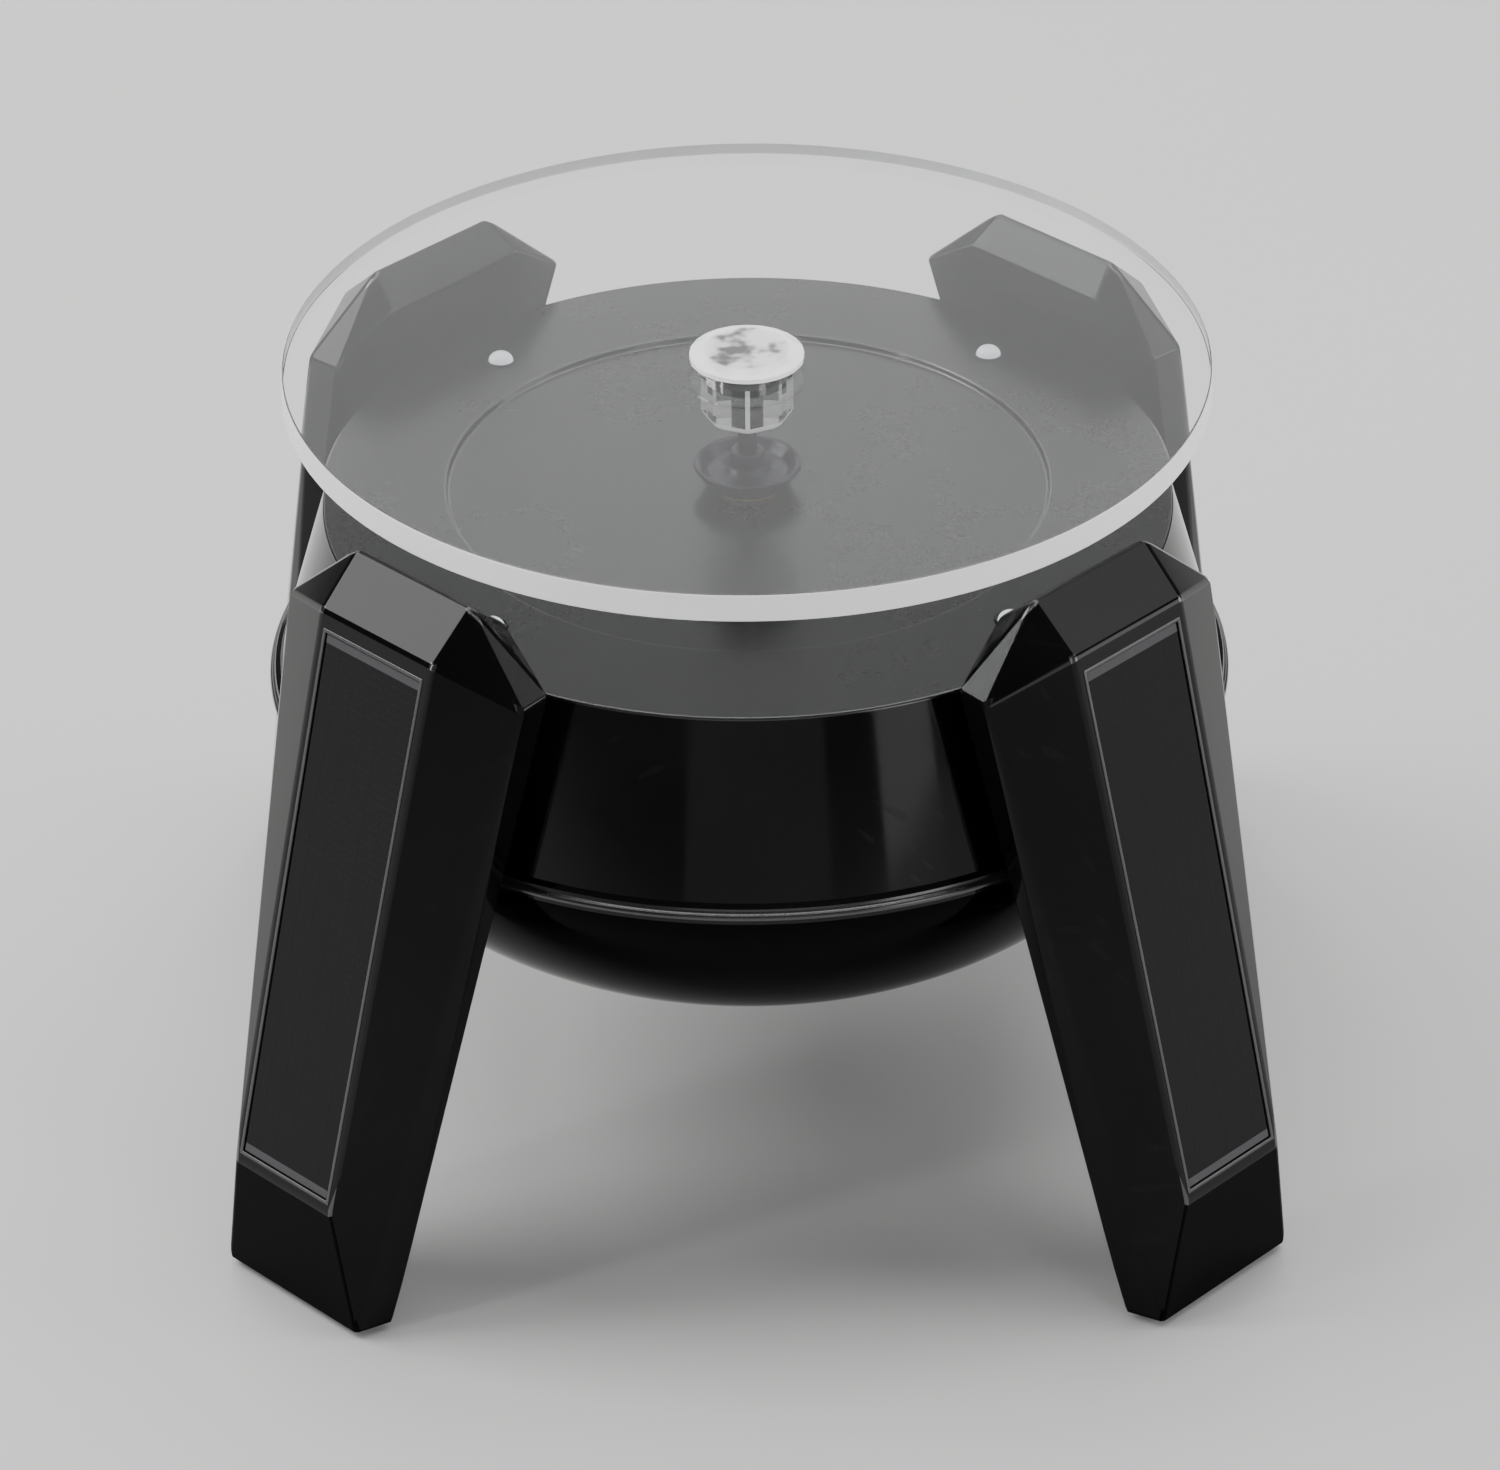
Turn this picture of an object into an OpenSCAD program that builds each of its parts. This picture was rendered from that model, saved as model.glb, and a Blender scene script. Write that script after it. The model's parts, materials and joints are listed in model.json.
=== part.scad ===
// Turntable display stand: a clear disc turned by a small geared motor, on a housing with four legs.
// Z is up, the floor is z = 0 and the turning axis is the Z axis. The front of the stand faces -Y.

/* [Turntable] */
// Radius of the clear disc
disc_r = 55; // [48:0.5:60]
// Thickness of the clear disc
disc_t = 3.5; // [2.5:0.1:5]
// Air between the tops of the legs and the disc
disc_gap = 3.5; // [2:0.1:6]
// Radius of the hub's flange on the disc
flange_r = 6.8; // [6.4:0.1:9]
// Thickness of the hub's flange
flange_t = 1; // [0.6:0.1:2]
// Corner radius of the eight-sided hub
hub_r = 5.6; // [4.5:0.1:6]
// Length of the hub below the disc
hub_drop = 6.5; // [4:0.1:8]
// Radius of the steel post under the hub
post_r = 1.15; // [0.9:0.05:1.4]

/* [Housing] */
// Height of the deck above the floor
deck_z = 78; // [72:0.5:84]
// Radius of the deck
deck_r = 51; // [49:0.5:60]
// Height of the lip where the two housings meet
lip_z = 55.5; // [54:0.5:58]
// Height of the flat underside above the floor
base_z = 29.5; // [26:0.5:30]
// Radius of the flat underside
base_r = 34; // [33:0.5:38]
// Wall of both housings
wall = 2; // [1.6:0.1:2.4]
// Radius of the shallow recess in the deck
recess_r = 36; // [20:0.5:38]
// Depth of the shallow recess in the deck
recess_d = 0.7; // [0.3:0.1:1]

/* [Legs] */
// Height of a leg above the floor
leg_h = 89.7; // [86:0.1:96]
// Lean of a leg from upright, in degrees
lean = 15.3; // [12:0.1:18]
// Thickness of a leg from back to front, level
leg_depth = 9.8; // [9:0.1:12]
// Thickness of a leg at its side edges, level
side_depth = 4.6; // [4:0.1:5.5]
// Half the width of a leg at its shoulders
shoulder_w = 19.4; // [17:0.1:21]
// Half the width of a leg's front face at the top
face_w = 9.2; // [9.2:0.1:11]
// Half the width of a leg at the floor
foot_w = 12.6; // [11.5:0.1:15]
// Wall of a leg
leg_wall = 2; // [1.6:0.1:2.2]
// Space between the deck's edge and the back of a leg
leg_gap = 1.4; // [1:0.1:2]

/* [Solar cells] */
// Half the width of a cell at its top
cell_w_top = 7.7; // [6:0.1:7.8]
// Half the width of a cell at its bottom
cell_w_low = 7.1; // [5.5:0.1:7.2]
// Height of a cell's lower edge above the floor
cell_low_z = 18.6; // [18:0.1:30]
// Thickness of a cell
cell_t = 0.7; // [0.4:0.05:0.9]

/* [Drive] */
// Gear module
gear_m = 0.5; // [0.45:0.01:0.52]
// Radius of the output shaft
shaft_r = 1.5; // [1.2:0.05:1.8]
// Radius of the gear arbors
arbor_r = 0.75; // [0.6:0.05:0.9]
// Thickness of each gear
gear_t = 3; // [2.4:0.1:3.2]
// Radius of the motor can
motor_r = 12.2; // [11:0.1:12.4]
// Length of the motor can
motor_l = 12.3; // [10:0.1:13]

/* [Battery] */
// Radius of the battery cell
battery_r = 7.1; // [6.9:0.05:7.2]
// Length of the battery cell with its button
battery_l = 50.5; // [49:0.1:50.5]

/* [Switch] */
// Travel of the power switch
switch_travel = 3; // [2:0.1:4]

/* [Hidden] */

$fn = 96;
eps = 0.01;
run_fit = 0.05;       // radial clearance of a shaft that turns in a hole
seat_fit = 0.02;      // radial clearance of a pin that is held
loose_fit = 0.15;     // clearance round a piece that drops into a recess
air = 0.3;            // gap between faces that pass each other

// Places of the legs round the axis, in degrees
FRONT_LEFT = 225;
FRONT_RIGHT = 315;
REAR_LEFT = 135;
REAR_RIGHT = 45;
LEG_ANGLES = [FRONT_LEFT, FRONT_RIGHT, REAR_LEFT, REAR_RIGHT];

black = [0.05, 0.05, 0.05];
glass_clear = [0.9, 0.93, 0.94, 0.45];
steel = [0.75, 0.75, 0.76];
pale_plastic = [0.88, 0.87, 0.82];

// ---- heights ----
foot_z = 0.8;                       // underside of the leg shells, above the pads
disc_low = leg_h + disc_gap;
disc_top = disc_low + disc_t;
hub_low = disc_low - hub_drop;
flange_seat_z = disc_top - 0.3;     // shallow seat in the disc's top that the hub's flange drops into
recess_z = deck_z - recess_d;
deck_under = deck_z - wall;
lip_t = 1;
lip_low = lip_z - lip_t;
floor_in = base_z + wall;           // inside face of the flat underside

// ---- the leaning surfaces ----
slope = tan(lean);
function cone_r(z) = deck_r + (deck_z - z) * slope;
function back_r(z) = cone_r(z) + leg_gap;
function down(z) = (deck_z - z) / cos(lean);   // distance down the lean from deck height

// Turns the drawing plane onto a leg's leaning plane: X runs down the leg, Y across it, Z outwards.
// depth is measured level, outwards from the back of the leg.
module on_leg(depth) {
    translate([back_r(deck_z) + depth, 0, deck_z])
        rotate([0, 90 - lean, 0])
            children();
}

// ---- leg landmarks ----
top_w = 9.4;                        // half the width of the ridge
inner_top_w = 10.6;                 // half the width of the back face's top edge
inner_top_z = leg_h - 3.5;
ridge_depth = leg_depth / 2 + 0.3;
bevel_z = leg_h - 5.3;              // lower edge of the bevel, where the front face starts
shoulder_z = leg_h - 8.9;
toe_z = 17.1;                       // top of the upright toe face
toe_w = face_w - 1;
toe_low_w = foot_w - 1.5;
cell_top_z = bevel_z - 2.4;
cell_margin = 0.2;                  // gap round a cell in its recess
cell_recess = cell_t + 0.1;
level = cos(lean);                  // turns a level depth into one square to the leaning plane

// ---- screws ----
screw_r = 1.15;
screw_head_r = 2.3;
screw_head_t = 1.4;
boss_r = 3;
leg_boss_r = 2.7;
head_lift = 0.1;                    // the flat heads stand this proud of the curved inner wall
leg_screw_z = [deck_z - 6, deck_z - 16];
foot_screw_z = 21;
foot_head_t = 0.8;
lead_hole_r = 1.9;
lead_z = deck_z - 11;
pad_w = 12;                         // half the width of the flat seat behind a leg
pad_top_z = deck_z - 2;
pad_low_z = lip_z + 2.5;

housing_screw_at = deck_r - 9;      // radius of the circle of housing screws
housing_screw_angles = [20, 160, 200, 340];
housing_head_z = lip_low - 5;       // seat of the screw heads
housing_screw_l = 12;

// ---- gear train: teeth, places and layers ----
out_teeth = 48;
wheel_teeth = 40;
small_teeth = 12;
pinion_teeth = 10;
function mesh_distance(a, b) = gear_m * (a + b) / 2;
second_angle = -36.87;
first_angle = -112.62;
motor_angle = 143.13;
second_at = mesh_distance(out_teeth, small_teeth) * [cos(second_angle), sin(second_angle)];
first_at = second_at + mesh_distance(wheel_teeth, small_teeth) * [cos(first_angle), sin(first_angle)];
motor_at = first_at + mesh_distance(wheel_teeth, pinion_teeth) * [cos(motor_angle), sin(motor_angle)];
box_top = deck_z - 8;               // top of the gearbox
plate_t = 2;
layer_gap = 1;
layer_a = box_top - plate_t - layer_gap - gear_t;      // output gear
layer_b = layer_a - layer_gap - gear_t;
layer_c = layer_b - layer_gap - gear_t;                // motor pinion
box_low = layer_c - layer_gap - plate_t;               // underside of the gearbox
box_wall = 1.3;
box_air = 0.7;                      // gap between a gear's tips and the gearbox wall
tip_out = gear_m * out_teeth / 2 + gear_m;
tip_wheel = gear_m * wheel_teeth / 2 + gear_m;
box_x0 = -tip_out - box_air - box_wall;
box_x1 = second_at[0] + tip_wheel + box_air + box_wall;
box_y0 = first_at[1] - tip_wheel - box_air - box_wall;
box_y1 = tip_out + box_air + box_wall;
post_inset = 4;
box_posts = [[box_x0 + post_inset, box_y0 + post_inset], [box_x1 - post_inset, box_y0 + post_inset],
    [box_x1 - post_inset, box_y1 - post_inset]];
box_post_r = 2.6;
box_screw_r = 1;
motor_screw_at = 6;
motor_screw_r = 0.8;
motor_screw_angle = 53.13;
motor_low = box_low - motor_l;
motor_shaft_r = 1;
motor_nose_r = 3;
motor_nose_t = 1.2;

// ---- battery ----
motor_clear = 1.7;                  // gap between the motor and the battery well
contact_t = 0.4;
spring_l = 3.6;
well_l = battery_l + spring_l + 2 * contact_t + 0.1;
well_w = 2 * battery_r + 1.2;
well_wall = 1.4;
well_y = motor_at[1] + motor_r + motor_clear + well_wall + well_w / 2;      // its centre line
door_t = 1.6;
battery_z = base_z + door_t + air + battery_r;
well_top = battery_z + battery_r + 0.5;
door_gap = 0.3;
hinge_r = 1.2;
hinge_pin_r = 0.6;
hinge_reach = 2.1;                  // from the end of the well to the hinge's axis
hinge_x = -well_l / 2 - hinge_reach;
hinge_z = base_z - hinge_r - air;
hinge_len = well_w - 2 * door_gap - 3;
ear_t = 2;
ear_wall = 0.4;
notch_r = 5;                        // finger notch at the free end of the door

// ---- power switch ----
switch_y = -26;
knob_l = 2.4;
knob_w = 2;
switch_l = 10;
switch_w = 4.6;
switch_h = 3.6;
slot_gap = 0.3;

// ---- circuit board ----
board_l = 44;
board_w = 20;
board_t = 1.6;
board_at = [0, 31, deck_z - 18];
board_hole_x = 18;
board_screw_r = 0.9;

// ---- lamps ----
lamp_at = deck_r - 8.5;
lamp_r = 1.5;

// One gear outline: straight-sided teeth with backlash, a tooth centred on angle 0.
module gear_outline(teeth) {
    pitch_r = gear_m * teeth / 2;
    step = 360 / teeth;
    root_r = pitch_r - 1.25 * gear_m;
    tip_r = pitch_r + 0.85 * gear_m;
    root_half = 0.30 * step;
    pitch_half = 0.205 * step;
    tip_half = 0.085 * step;
    corners = [[root_r, -root_half], [pitch_r, -pitch_half], [tip_r, -tip_half],
        [tip_r, tip_half], [pitch_r, pitch_half], [root_r, root_half]];
    polygon([for (i = [0 : teeth - 1]) for (c = corners)
        c[0] * [cos(i * step + c[1]), sin(i * step + c[1])]]);
}

// Turn that a gear of b teeth needs to mesh with one of a teeth turned by turn_a, at direction way.
function mesh_turn(a, b, turn_a, way) = way + 180 + 180 / b - (turn_a - way) * a / b;

// A rectangle with round corners, from its low corner to its high corner.
module round_rect(x0, y0, x1, y1, r) {
    translate([x0 + r, y0]) square([x1 - x0 - 2 * r, y1 - y0]);
    translate([x0, y0 + r]) square([x1 - x0, y1 - y0 - 2 * r]);
    for (x = [x0 + r, x1 - r]) for (y = [y0 + r, y1 - r]) translate([x, y]) circle(r);
}

// A pan-head screw with its head's seat at z = 0, pointing up.
module screw(r, head_r, head_t, length) {
    difference() {
        translate([0, 0, -head_t]) cylinder(h = head_t, r = head_r, $fn = 32);
        for (turn = [0, 90])
            rotate([0, 0, turn])
                translate([-head_r * 0.6, -0.25, -head_t - eps])
                    cube([head_r * 1.2, 0.5, head_t * 0.5]);
    }
    translate([0, 0, -eps]) cylinder(h = length + eps, r = r, $fn = 32);
}

// ---- round wires ----
wire_sides = 8;
function unit(v) = v / norm(v);
function bend(p, t) =
    let (n = len(p) - 1, s = min(t * n, n - eps), i = floor(s), u = s - i,
        a = p[max(i - 1, 0)], b = p[i], c = p[i + 1], d = p[min(i + 2, n)])
    0.5 * (2 * b + (c - a) * u + (2 * a - 5 * b + 4 * c - d) * u * u + (3 * b - 3 * c + d - a) * u * u * u);
module wire(points, r, rings) {
    path = [for (k = [0 : rings]) bend(points, k / rings)];
    way = [for (k = [0 : rings]) unit(path[min(k + 1, rings)] - path[max(k - 1, 0)])];
    side = [for (w = way) unit(cross(w, abs(w[2]) > 0.9 ? [1, 0, 0] : [0, 0, 1]))];
    skin = [for (k = [0 : rings]) for (j = [0 : wire_sides - 1])
        path[k] + r * (side[k] * cos(360 * j / wire_sides)
        + cross(way[k], side[k]) * sin(360 * j / wire_sides))];
    walls = [for (k = [0 : rings - 1]) for (j = [0 : wire_sides - 1])
        let (a = k * wire_sides + j, b = k * wire_sides + (j + 1) % wire_sides)
        each [[a + wire_sides, b, a], [a + wire_sides, b + wire_sides, b]]];
    first_end = [for (j = [0 : wire_sides - 1]) j];
    last_end = [for (j = [wire_sides - 1 : -1 : 0]) rings * wire_sides + j];
    polyhedron(points = skin, faces = concat(walls, [first_end, last_end]), convexity = 6);
}

// ---- housings ----
bowl_steps = 20;
bowl_lean = 1.25;       // 1 draws a quarter ellipse, more draws a straighter wall
function bowl(z_high, r_high, r_low, z_low) =
    [for (k = [0 : bowl_steps]) let (t = 90 * k / bowl_steps)
        [r_low + (r_high - r_low) * pow(cos(t), bowl_lean),
        z_high - (z_high - z_low) * pow(sin(t), bowl_lean)]];

module upper_cavity() {
    rotate_extrude()
        polygon([[0, lip_low - 1], [0, deck_under], [cone_r(deck_under) - wall, deck_under],
            [cone_r(lip_low - 1) - wall, lip_low - 1]]);
}

// The black conical case with its flat deck, four leg seats and its inner bosses.
module upper_housing() {
    edge = 0.5;
    bead = 0.9;         // how far the lip stands out from the cone
    seat_back = 5;
    color(black)
    difference() {
        union() {
            difference() {
                union() {
                    rotate_extrude()
                        polygon([[0, lip_low], [0, deck_z], [deck_r - edge, deck_z], [deck_r, deck_z - edge],
                            [cone_r(lip_z + 0.6), lip_z + 0.6], [cone_r(lip_z) + bead, lip_z],
                            [cone_r(lip_z) + bead, lip_low]]);
                    for (a = LEG_ANGLES)
                        rotate([0, 0, a])
                            on_leg(0)
                                translate([down(pad_top_z), -pad_w, -seat_back])
                                    cube([down(pad_low_z) - down(pad_top_z), 2 * pad_w, seat_back]);
                }
                upper_cavity();
            }
            for (a = housing_screw_angles)
                rotate([0, 0, a])
                    translate([housing_screw_at, 0, lip_low + 0.5])
                        cylinder(h = deck_under - lip_low, r = boss_r);
            for (p = box_posts)
                translate([p[0], p[1], box_top])
                    cylinder(h = deck_under - box_top + 0.5, r = boss_r);
            for (s = [-1, 1])
                translate([s * board_hole_x, board_at[1], board_at[2] + board_t])
                    cylinder(h = deck_under - board_at[2] - board_t + 0.5, r = leg_boss_r);
        }
        // shallow round recess in the deck, and the bush's hole
        translate([0, 0, recess_z]) cylinder(h = recess_d + 1, r = recess_r);
        translate([0, 0, deck_under - 1]) cylinder(h = wall + 2, r = bush_r + seat_fit);
        for (a = LEG_ANGLES) {
            rotate([0, 0, a]) {
                translate([lamp_at, 0, deck_under - 1]) cylinder(h = wall + 2, r = lamp_r + run_fit);
                for (z = leg_screw_z)
                    on_leg(0)
                        translate([down(z), 0, -10]) cylinder(h = 20, r = screw_r + loose_fit);
                on_leg(0)
                    translate([down(lead_z), 0, -10]) cylinder(h = 20, r = lead_hole_r);
            }
        }
        for (a = housing_screw_angles)
            rotate([0, 0, a])
                translate([housing_screw_at, 0, lip_low - 1])
                    cylinder(h = housing_screw_l, r = screw_r + seat_fit);
        for (p = box_posts)
            translate([p[0], p[1], box_top - 1])
                cylinder(h = 5.5, r = box_screw_r + seat_fit);
        for (s = [-1, 1])
            translate([s * board_hole_x, board_at[1], board_at[2] + board_t - 1])
                cylinder(h = 8, r = board_screw_r + seat_fit);
    }
}

bush_r = shaft_r + 1.5;
bush_flange_t = 0.6;

// The black bowl below the lip, with the battery well, the switch slot and the screw tubes.
module lower_housing() {
    rim_r = cone_r(lip_low) - 0.1;
    inner_rim_r = rim_r - 2 * wall + 0.6;
    tongue_r = cone_r(lip_low) - wall - loose_fit;
    tongue_h = 1.6;
    color(black)
    difference() {
        union() {
            difference() {
                rotate_extrude()
                    polygon(concat([[0, lip_low]], bowl(lip_low, rim_r, base_r, base_z), [[0, base_z]]));
                rotate_extrude()
                    polygon(concat([[0, lip_low + 1], [inner_rim_r, lip_low + 1]],
                        bowl(lip_low, inner_rim_r, base_r - wall / 2, floor_in), [[0, floor_in]]));
            }
            // tongue that centres the upper housing
            translate([0, 0, lip_low - 1])
                difference() {
                    cylinder(h = tongue_h + 1, r = tongue_r - tongue_h * slope);
                    translate([0, 0, -1]) cylinder(h = tongue_h + 3, r = inner_rim_r);
                }
            for (a = housing_screw_angles)
                rotate([0, 0, a])
                    translate([housing_screw_at, 0, 0])
                        intersection() {
                            translate([0, 0, base_z]) cylinder(h = lip_low + 0.5 - base_z, r = boss_r + 1);
                            bowl_blank(rim_r);
                        }
            translate([-well_l / 2 - well_wall, well_y - well_w / 2 - well_wall, base_z + eps])
                cube([well_l + 2 * well_wall, well_w + 2 * well_wall, well_top + well_wall - base_z]);
            // ears that carry the door's hinge pin
            for (s = [-1, 1])
                translate([hinge_x, well_y + s * (hinge_len / 2 + air + ear_t / 2), hinge_z]) {
                    rotate([90, 0, 0]) cylinder(h = ear_t, r = hinge_r + ear_wall, center = true);
                    translate([-hinge_r - ear_wall, -ear_t / 2, 0])
                        cube([2 * (hinge_r + ear_wall), ear_t, base_z - hinge_z + wall]);
                }
            // ribs that hold the switch body
            for (s = [-1, 1])
                translate([-switch_l / 2, switch_y + s * (switch_w / 2 + loose_fit + 0.6) - 0.6, floor_in - 0.5])
                    cube([switch_l, 1.2, switch_h]);
        }
        // battery well, open at the underside
        translate([-well_l / 2, well_y - well_w / 2, base_z - 1])
            cube([well_l, well_w, well_top - base_z + 1]);
        // finger notch at the free end of the door
        translate([well_l / 2 - eps, well_y, base_z])
            cylinder(h = 2, r = notch_r, center = true);
        for (a = housing_screw_angles)
            rotate([0, 0, a])
                translate([housing_screw_at, 0, base_z - 1]) {
                    cylinder(h = 60, r = screw_r + loose_fit);
                    cylinder(h = housing_head_z - base_z + 1, r = screw_head_r + air);
                }
        for (s = [-1, 1])
            translate([hinge_x, well_y, hinge_z])
                rotate([90, 0, 0])
                    cylinder(h = hinge_len + 4 * ear_t, r = hinge_pin_r + seat_fit, center = true);
        translate([-(knob_l + switch_travel) / 2 - slot_gap, switch_y - knob_w / 2 - slot_gap, base_z - 1])
            cube([knob_l + switch_travel + 2 * slot_gap, knob_w + 2 * slot_gap, wall + 2]);
    }
}

// The bowl's full shape in the frame of one screw tube.
module bowl_blank(rim_r) {
    translate([-housing_screw_at, 0, 0])
        rotate_extrude()
            polygon(concat([[0, lip_low]], bowl(lip_low, rim_r, base_r, base_z), [[0, base_z]]));
}

// ---- legs ----
function leg_corner(depth, w, z) = [for (s = [-1, 1]) [back_r(z) + depth, s * w, z]];

// Outline of a leg's back face, drawn on the leaning plane and taken in by the inset.
module back_outline(inset) {
    top = down(inner_top_z) + inset;
    shoulder = down(shoulder_z) + inset * 0.5;
    low = down(foot_z) - 2 * inset;
    polygon([[top, -inner_top_w + inset * 0.5], [top, inner_top_w - inset * 0.5],
        [shoulder, shoulder_w - 0.4 - inset], [low, foot_w - inset], [low, -foot_w + inset],
        [shoulder, -shoulder_w + 0.4 + inset]]);
}

cover_t = 1.8;

// One black outer shell: front face with a recess for the cell, bevelled top, open at the back.
module leg_shell(angle) {
    color(black)
    rotate([0, 0, angle])
    difference() {
        union() {
            difference() {
                hull() {
                    leg_points(0);
                }
                hull() {
                    leg_points(leg_wall);
                }
                on_leg(0)
                    translate([0, 0, -1])
                        linear_extrude(cover_t + 1) back_outline(leg_wall * 0.6);
            }
            for (z = concat(leg_screw_z, [foot_screw_z]))
                on_leg(0)
                    translate([down(z), 0, cover_t + 0.05])
                        cylinder(h = leg_depth * level - cover_t - leg_wall * 0.5, r = leg_boss_r);
        }
        for (z = concat(leg_screw_z, [foot_screw_z]))
            on_leg(0)
                translate([down(z), 0, 0])
                    cylinder(h = leg_depth * level - leg_wall * 0.75, r = screw_r + seat_fit);
        on_leg(leg_depth)
            translate([0, 0, -cell_recess])
                linear_extrude(5) cell_outline(cell_margin);
        on_leg(0)
            translate([down(lead_z), 0, 0]) cylinder(h = 20, r = lead_hole_r);
        translate([pad_centre_r, 0, foot_z - 1])
            linear_extrude(1 + pad_sink) foot_pad_outline(loose_fit);
    }
}

// The corner points of a leg, drawn as small solids for a hull, taken in by the wall.
module leg_points(inset) {
    side_in = inset > 0 ? inset * 1.25 : 0;
    back = inset > 0 ? 0.5 : 0;
    corners = concat(
        inset > 0 ? [] : leg_corner(ridge_depth, top_w, leg_h),
        leg_corner(back, inner_top_w - inset * 0.6, inner_top_z - inset * 1.6),
        leg_corner(leg_depth - inset / level, face_w - inset * 0.8, bevel_z - inset * 1.6),
        leg_corner(side_depth, shoulder_w - side_in, shoulder_z - inset * 0.6),
        leg_corner(back, shoulder_w - 0.4 - side_in, shoulder_z - inset * 0.6),
        inset > 0 ? leg_corner(leg_depth - inset / level, toe_w - inset * 0.6, toe_z + inset)
            : leg_corner(leg_depth, toe_w, toe_z),
        leg_corner(side_depth + 0.2 - inset * 0.5, toe_low_w - side_in, foot_z + inset * 1.7),
        leg_corner(back, foot_w - side_in, foot_z + inset * 1.7));
    polyhedron(points = corners, faces = [[for (i = [0 : len(corners) - 1]) i]]);
}

module cell_outline(margin) {
    polygon([[down(cell_top_z) - margin, -cell_w_top - margin], [down(cell_top_z) - margin, cell_w_top + margin],
        [down(cell_low_z) + margin, cell_w_low + margin], [down(cell_low_z) + margin, -cell_w_low - margin]]);
}

// The flat inner half that closes a leg.
module leg_cover(angle) {
    color(black)
    rotate([0, 0, angle])
    difference() {
        on_leg(0)
            linear_extrude(cover_t) back_outline(leg_wall * 0.6 + loose_fit);
        for (z = concat(leg_screw_z, [foot_screw_z]))
            on_leg(0)
                translate([down(z), 0, -1]) cylinder(h = 5, r = screw_r + loose_fit);
        on_leg(0)
            translate([down(foot_screw_z), 0, -1]) cylinder(h = 1 + foot_head_t, r = screw_head_r + loose_fit);
        on_leg(0)
            translate([down(lead_z), 0, -1]) cylinder(h = 5, r = lead_hole_r);
    }
}

module solar_cell(angle) {
    color([0.06, 0.06, 0.08])
    rotate([0, 0, angle])
        on_leg(leg_depth)
            translate([0, 0, -cell_recess])
                linear_extrude(cell_t) cell_outline(0);
}

// ---- feet ----
pad_centre_r = back_r(foot_z) + side_depth / 2;
pad_half_l = foot_w - 4;
pad_half_w = side_depth / 2 - 0.7;
pad_sink = 0.8;
module foot_pad_outline(grow) {
    square([2 * (pad_half_w + grow), 2 * (pad_half_l - pad_half_w)], center = true);
    for (s = [-1, 1])
        translate([0, s * (pad_half_l - pad_half_w)]) circle(pad_half_w + grow);
}
module foot_pads() {
    color([0.12, 0.12, 0.12])
    for (a = LEG_ANGLES)
        rotate([0, 0, a])
            translate([pad_centre_r, 0, 0])
                linear_extrude(foot_z + pad_sink) foot_pad_outline(0);
}

// ---- lamps on the deck ----
module deck_lamps() {
    dome_h = 1.1;
    rim_r = lamp_r + 0.4;
    color([0.9, 0.95, 1, 0.6])
    for (a = LEG_ANGLES)
        rotate([0, 0, a])
            translate([lamp_at, 0, 0]) {
                rotate_extrude($fn = 32)
                    polygon(concat([[0, deck_under - 1], [rim_r, deck_under - 1], [rim_r, deck_under],
                        [lamp_r, deck_under]],
                        [for (t = [0 : 15 : 90]) [lamp_r * cos(t), deck_z + dome_h * sin(t)]]));
                for (s = [-1, 1])
                    translate([0, s * 0.9, deck_under - 6])
                        cylinder(h = 5 + eps, r = 0.25, $fn = 16);
            }
}

// ---- turntable ----
module turntable_disc() {
    edge = 0.3;
    color(glass_clear)
    difference() {
        rotate_extrude($fn = 192)
            polygon([[0, disc_low], [disc_r - edge, disc_low], [disc_r, disc_low + edge],
                [disc_r, disc_top - edge], [disc_r - edge, disc_top], [0, disc_top]]);
        translate([0, 0, disc_low - 1]) cylinder(h = disc_t + 2, r = hub_r + loose_fit);
        translate([0, 0, flange_seat_z]) cylinder(h = disc_t, r = flange_r + loose_fit);
    }
}

hub_taper = 1.2;
post_top = disc_low - 0.5;
module disc_hub() {
    color(glass_clear)
    difference() {
        union() {
            translate([0, 0, flange_seat_z]) cylinder(h = disc_top + flange_t - flange_seat_z, r = flange_r);
            translate([0, 0, hub_low + hub_taper])
                cylinder(h = flange_seat_z - hub_low - hub_taper + eps, r = hub_r, $fn = 8);
            translate([0, 0, hub_low]) cylinder(h = hub_taper, r1 = hub_r - 1.1, r2 = hub_r, $fn = 8);
        }
        translate([0, 0, hub_low - 1]) cylinder(h = post_top - hub_low + 1, r = post_r + seat_fit);
    }
}

coupling_low = recess_z + bush_flange_t + air;
coupling_h = 2.4;
stem_top = coupling_low + 4;
shaft_top = coupling_low + 1.3;
socket_low = shaft_top + 0.5;
module hub_post() {
    color(steel)
    translate([0, 0, socket_low + 0.1])
        cylinder(h = post_top - socket_low - 0.1, r = post_r);
}

// The dark shallow cup on top of the output shaft, with the socket for the hub's post.
module drive_coupling() {
    cup_r = 6.5;
    stem_r = 2.3;
    color([0.17, 0.16, 0.2])
    difference() {
        rotate_extrude()
            polygon([[0, coupling_low], [cup_r - 1.3, coupling_low], [cup_r, coupling_low + coupling_h],
                [cup_r - 0.7, coupling_low + coupling_h], [cup_r - 1.6, coupling_low + 1.2],
                [stem_r + 0.8, coupling_low + 1.5], [stem_r, coupling_low + 2.2], [stem_r - 0.3, stem_top],
                [0, stem_top]]);
        translate([0, 0, coupling_low - 1]) cylinder(h = shaft_top - coupling_low + 1.1, r = shaft_r + seat_fit);
        translate([0, 0, socket_low]) cylinder(h = 10, r = post_r + run_fit);
    }
}

module output_shaft() {
    color(steel)
    translate([0, 0, box_low + 0.2])
        cylinder(h = shaft_top - box_low - 0.2, r = shaft_r);
}

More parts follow.
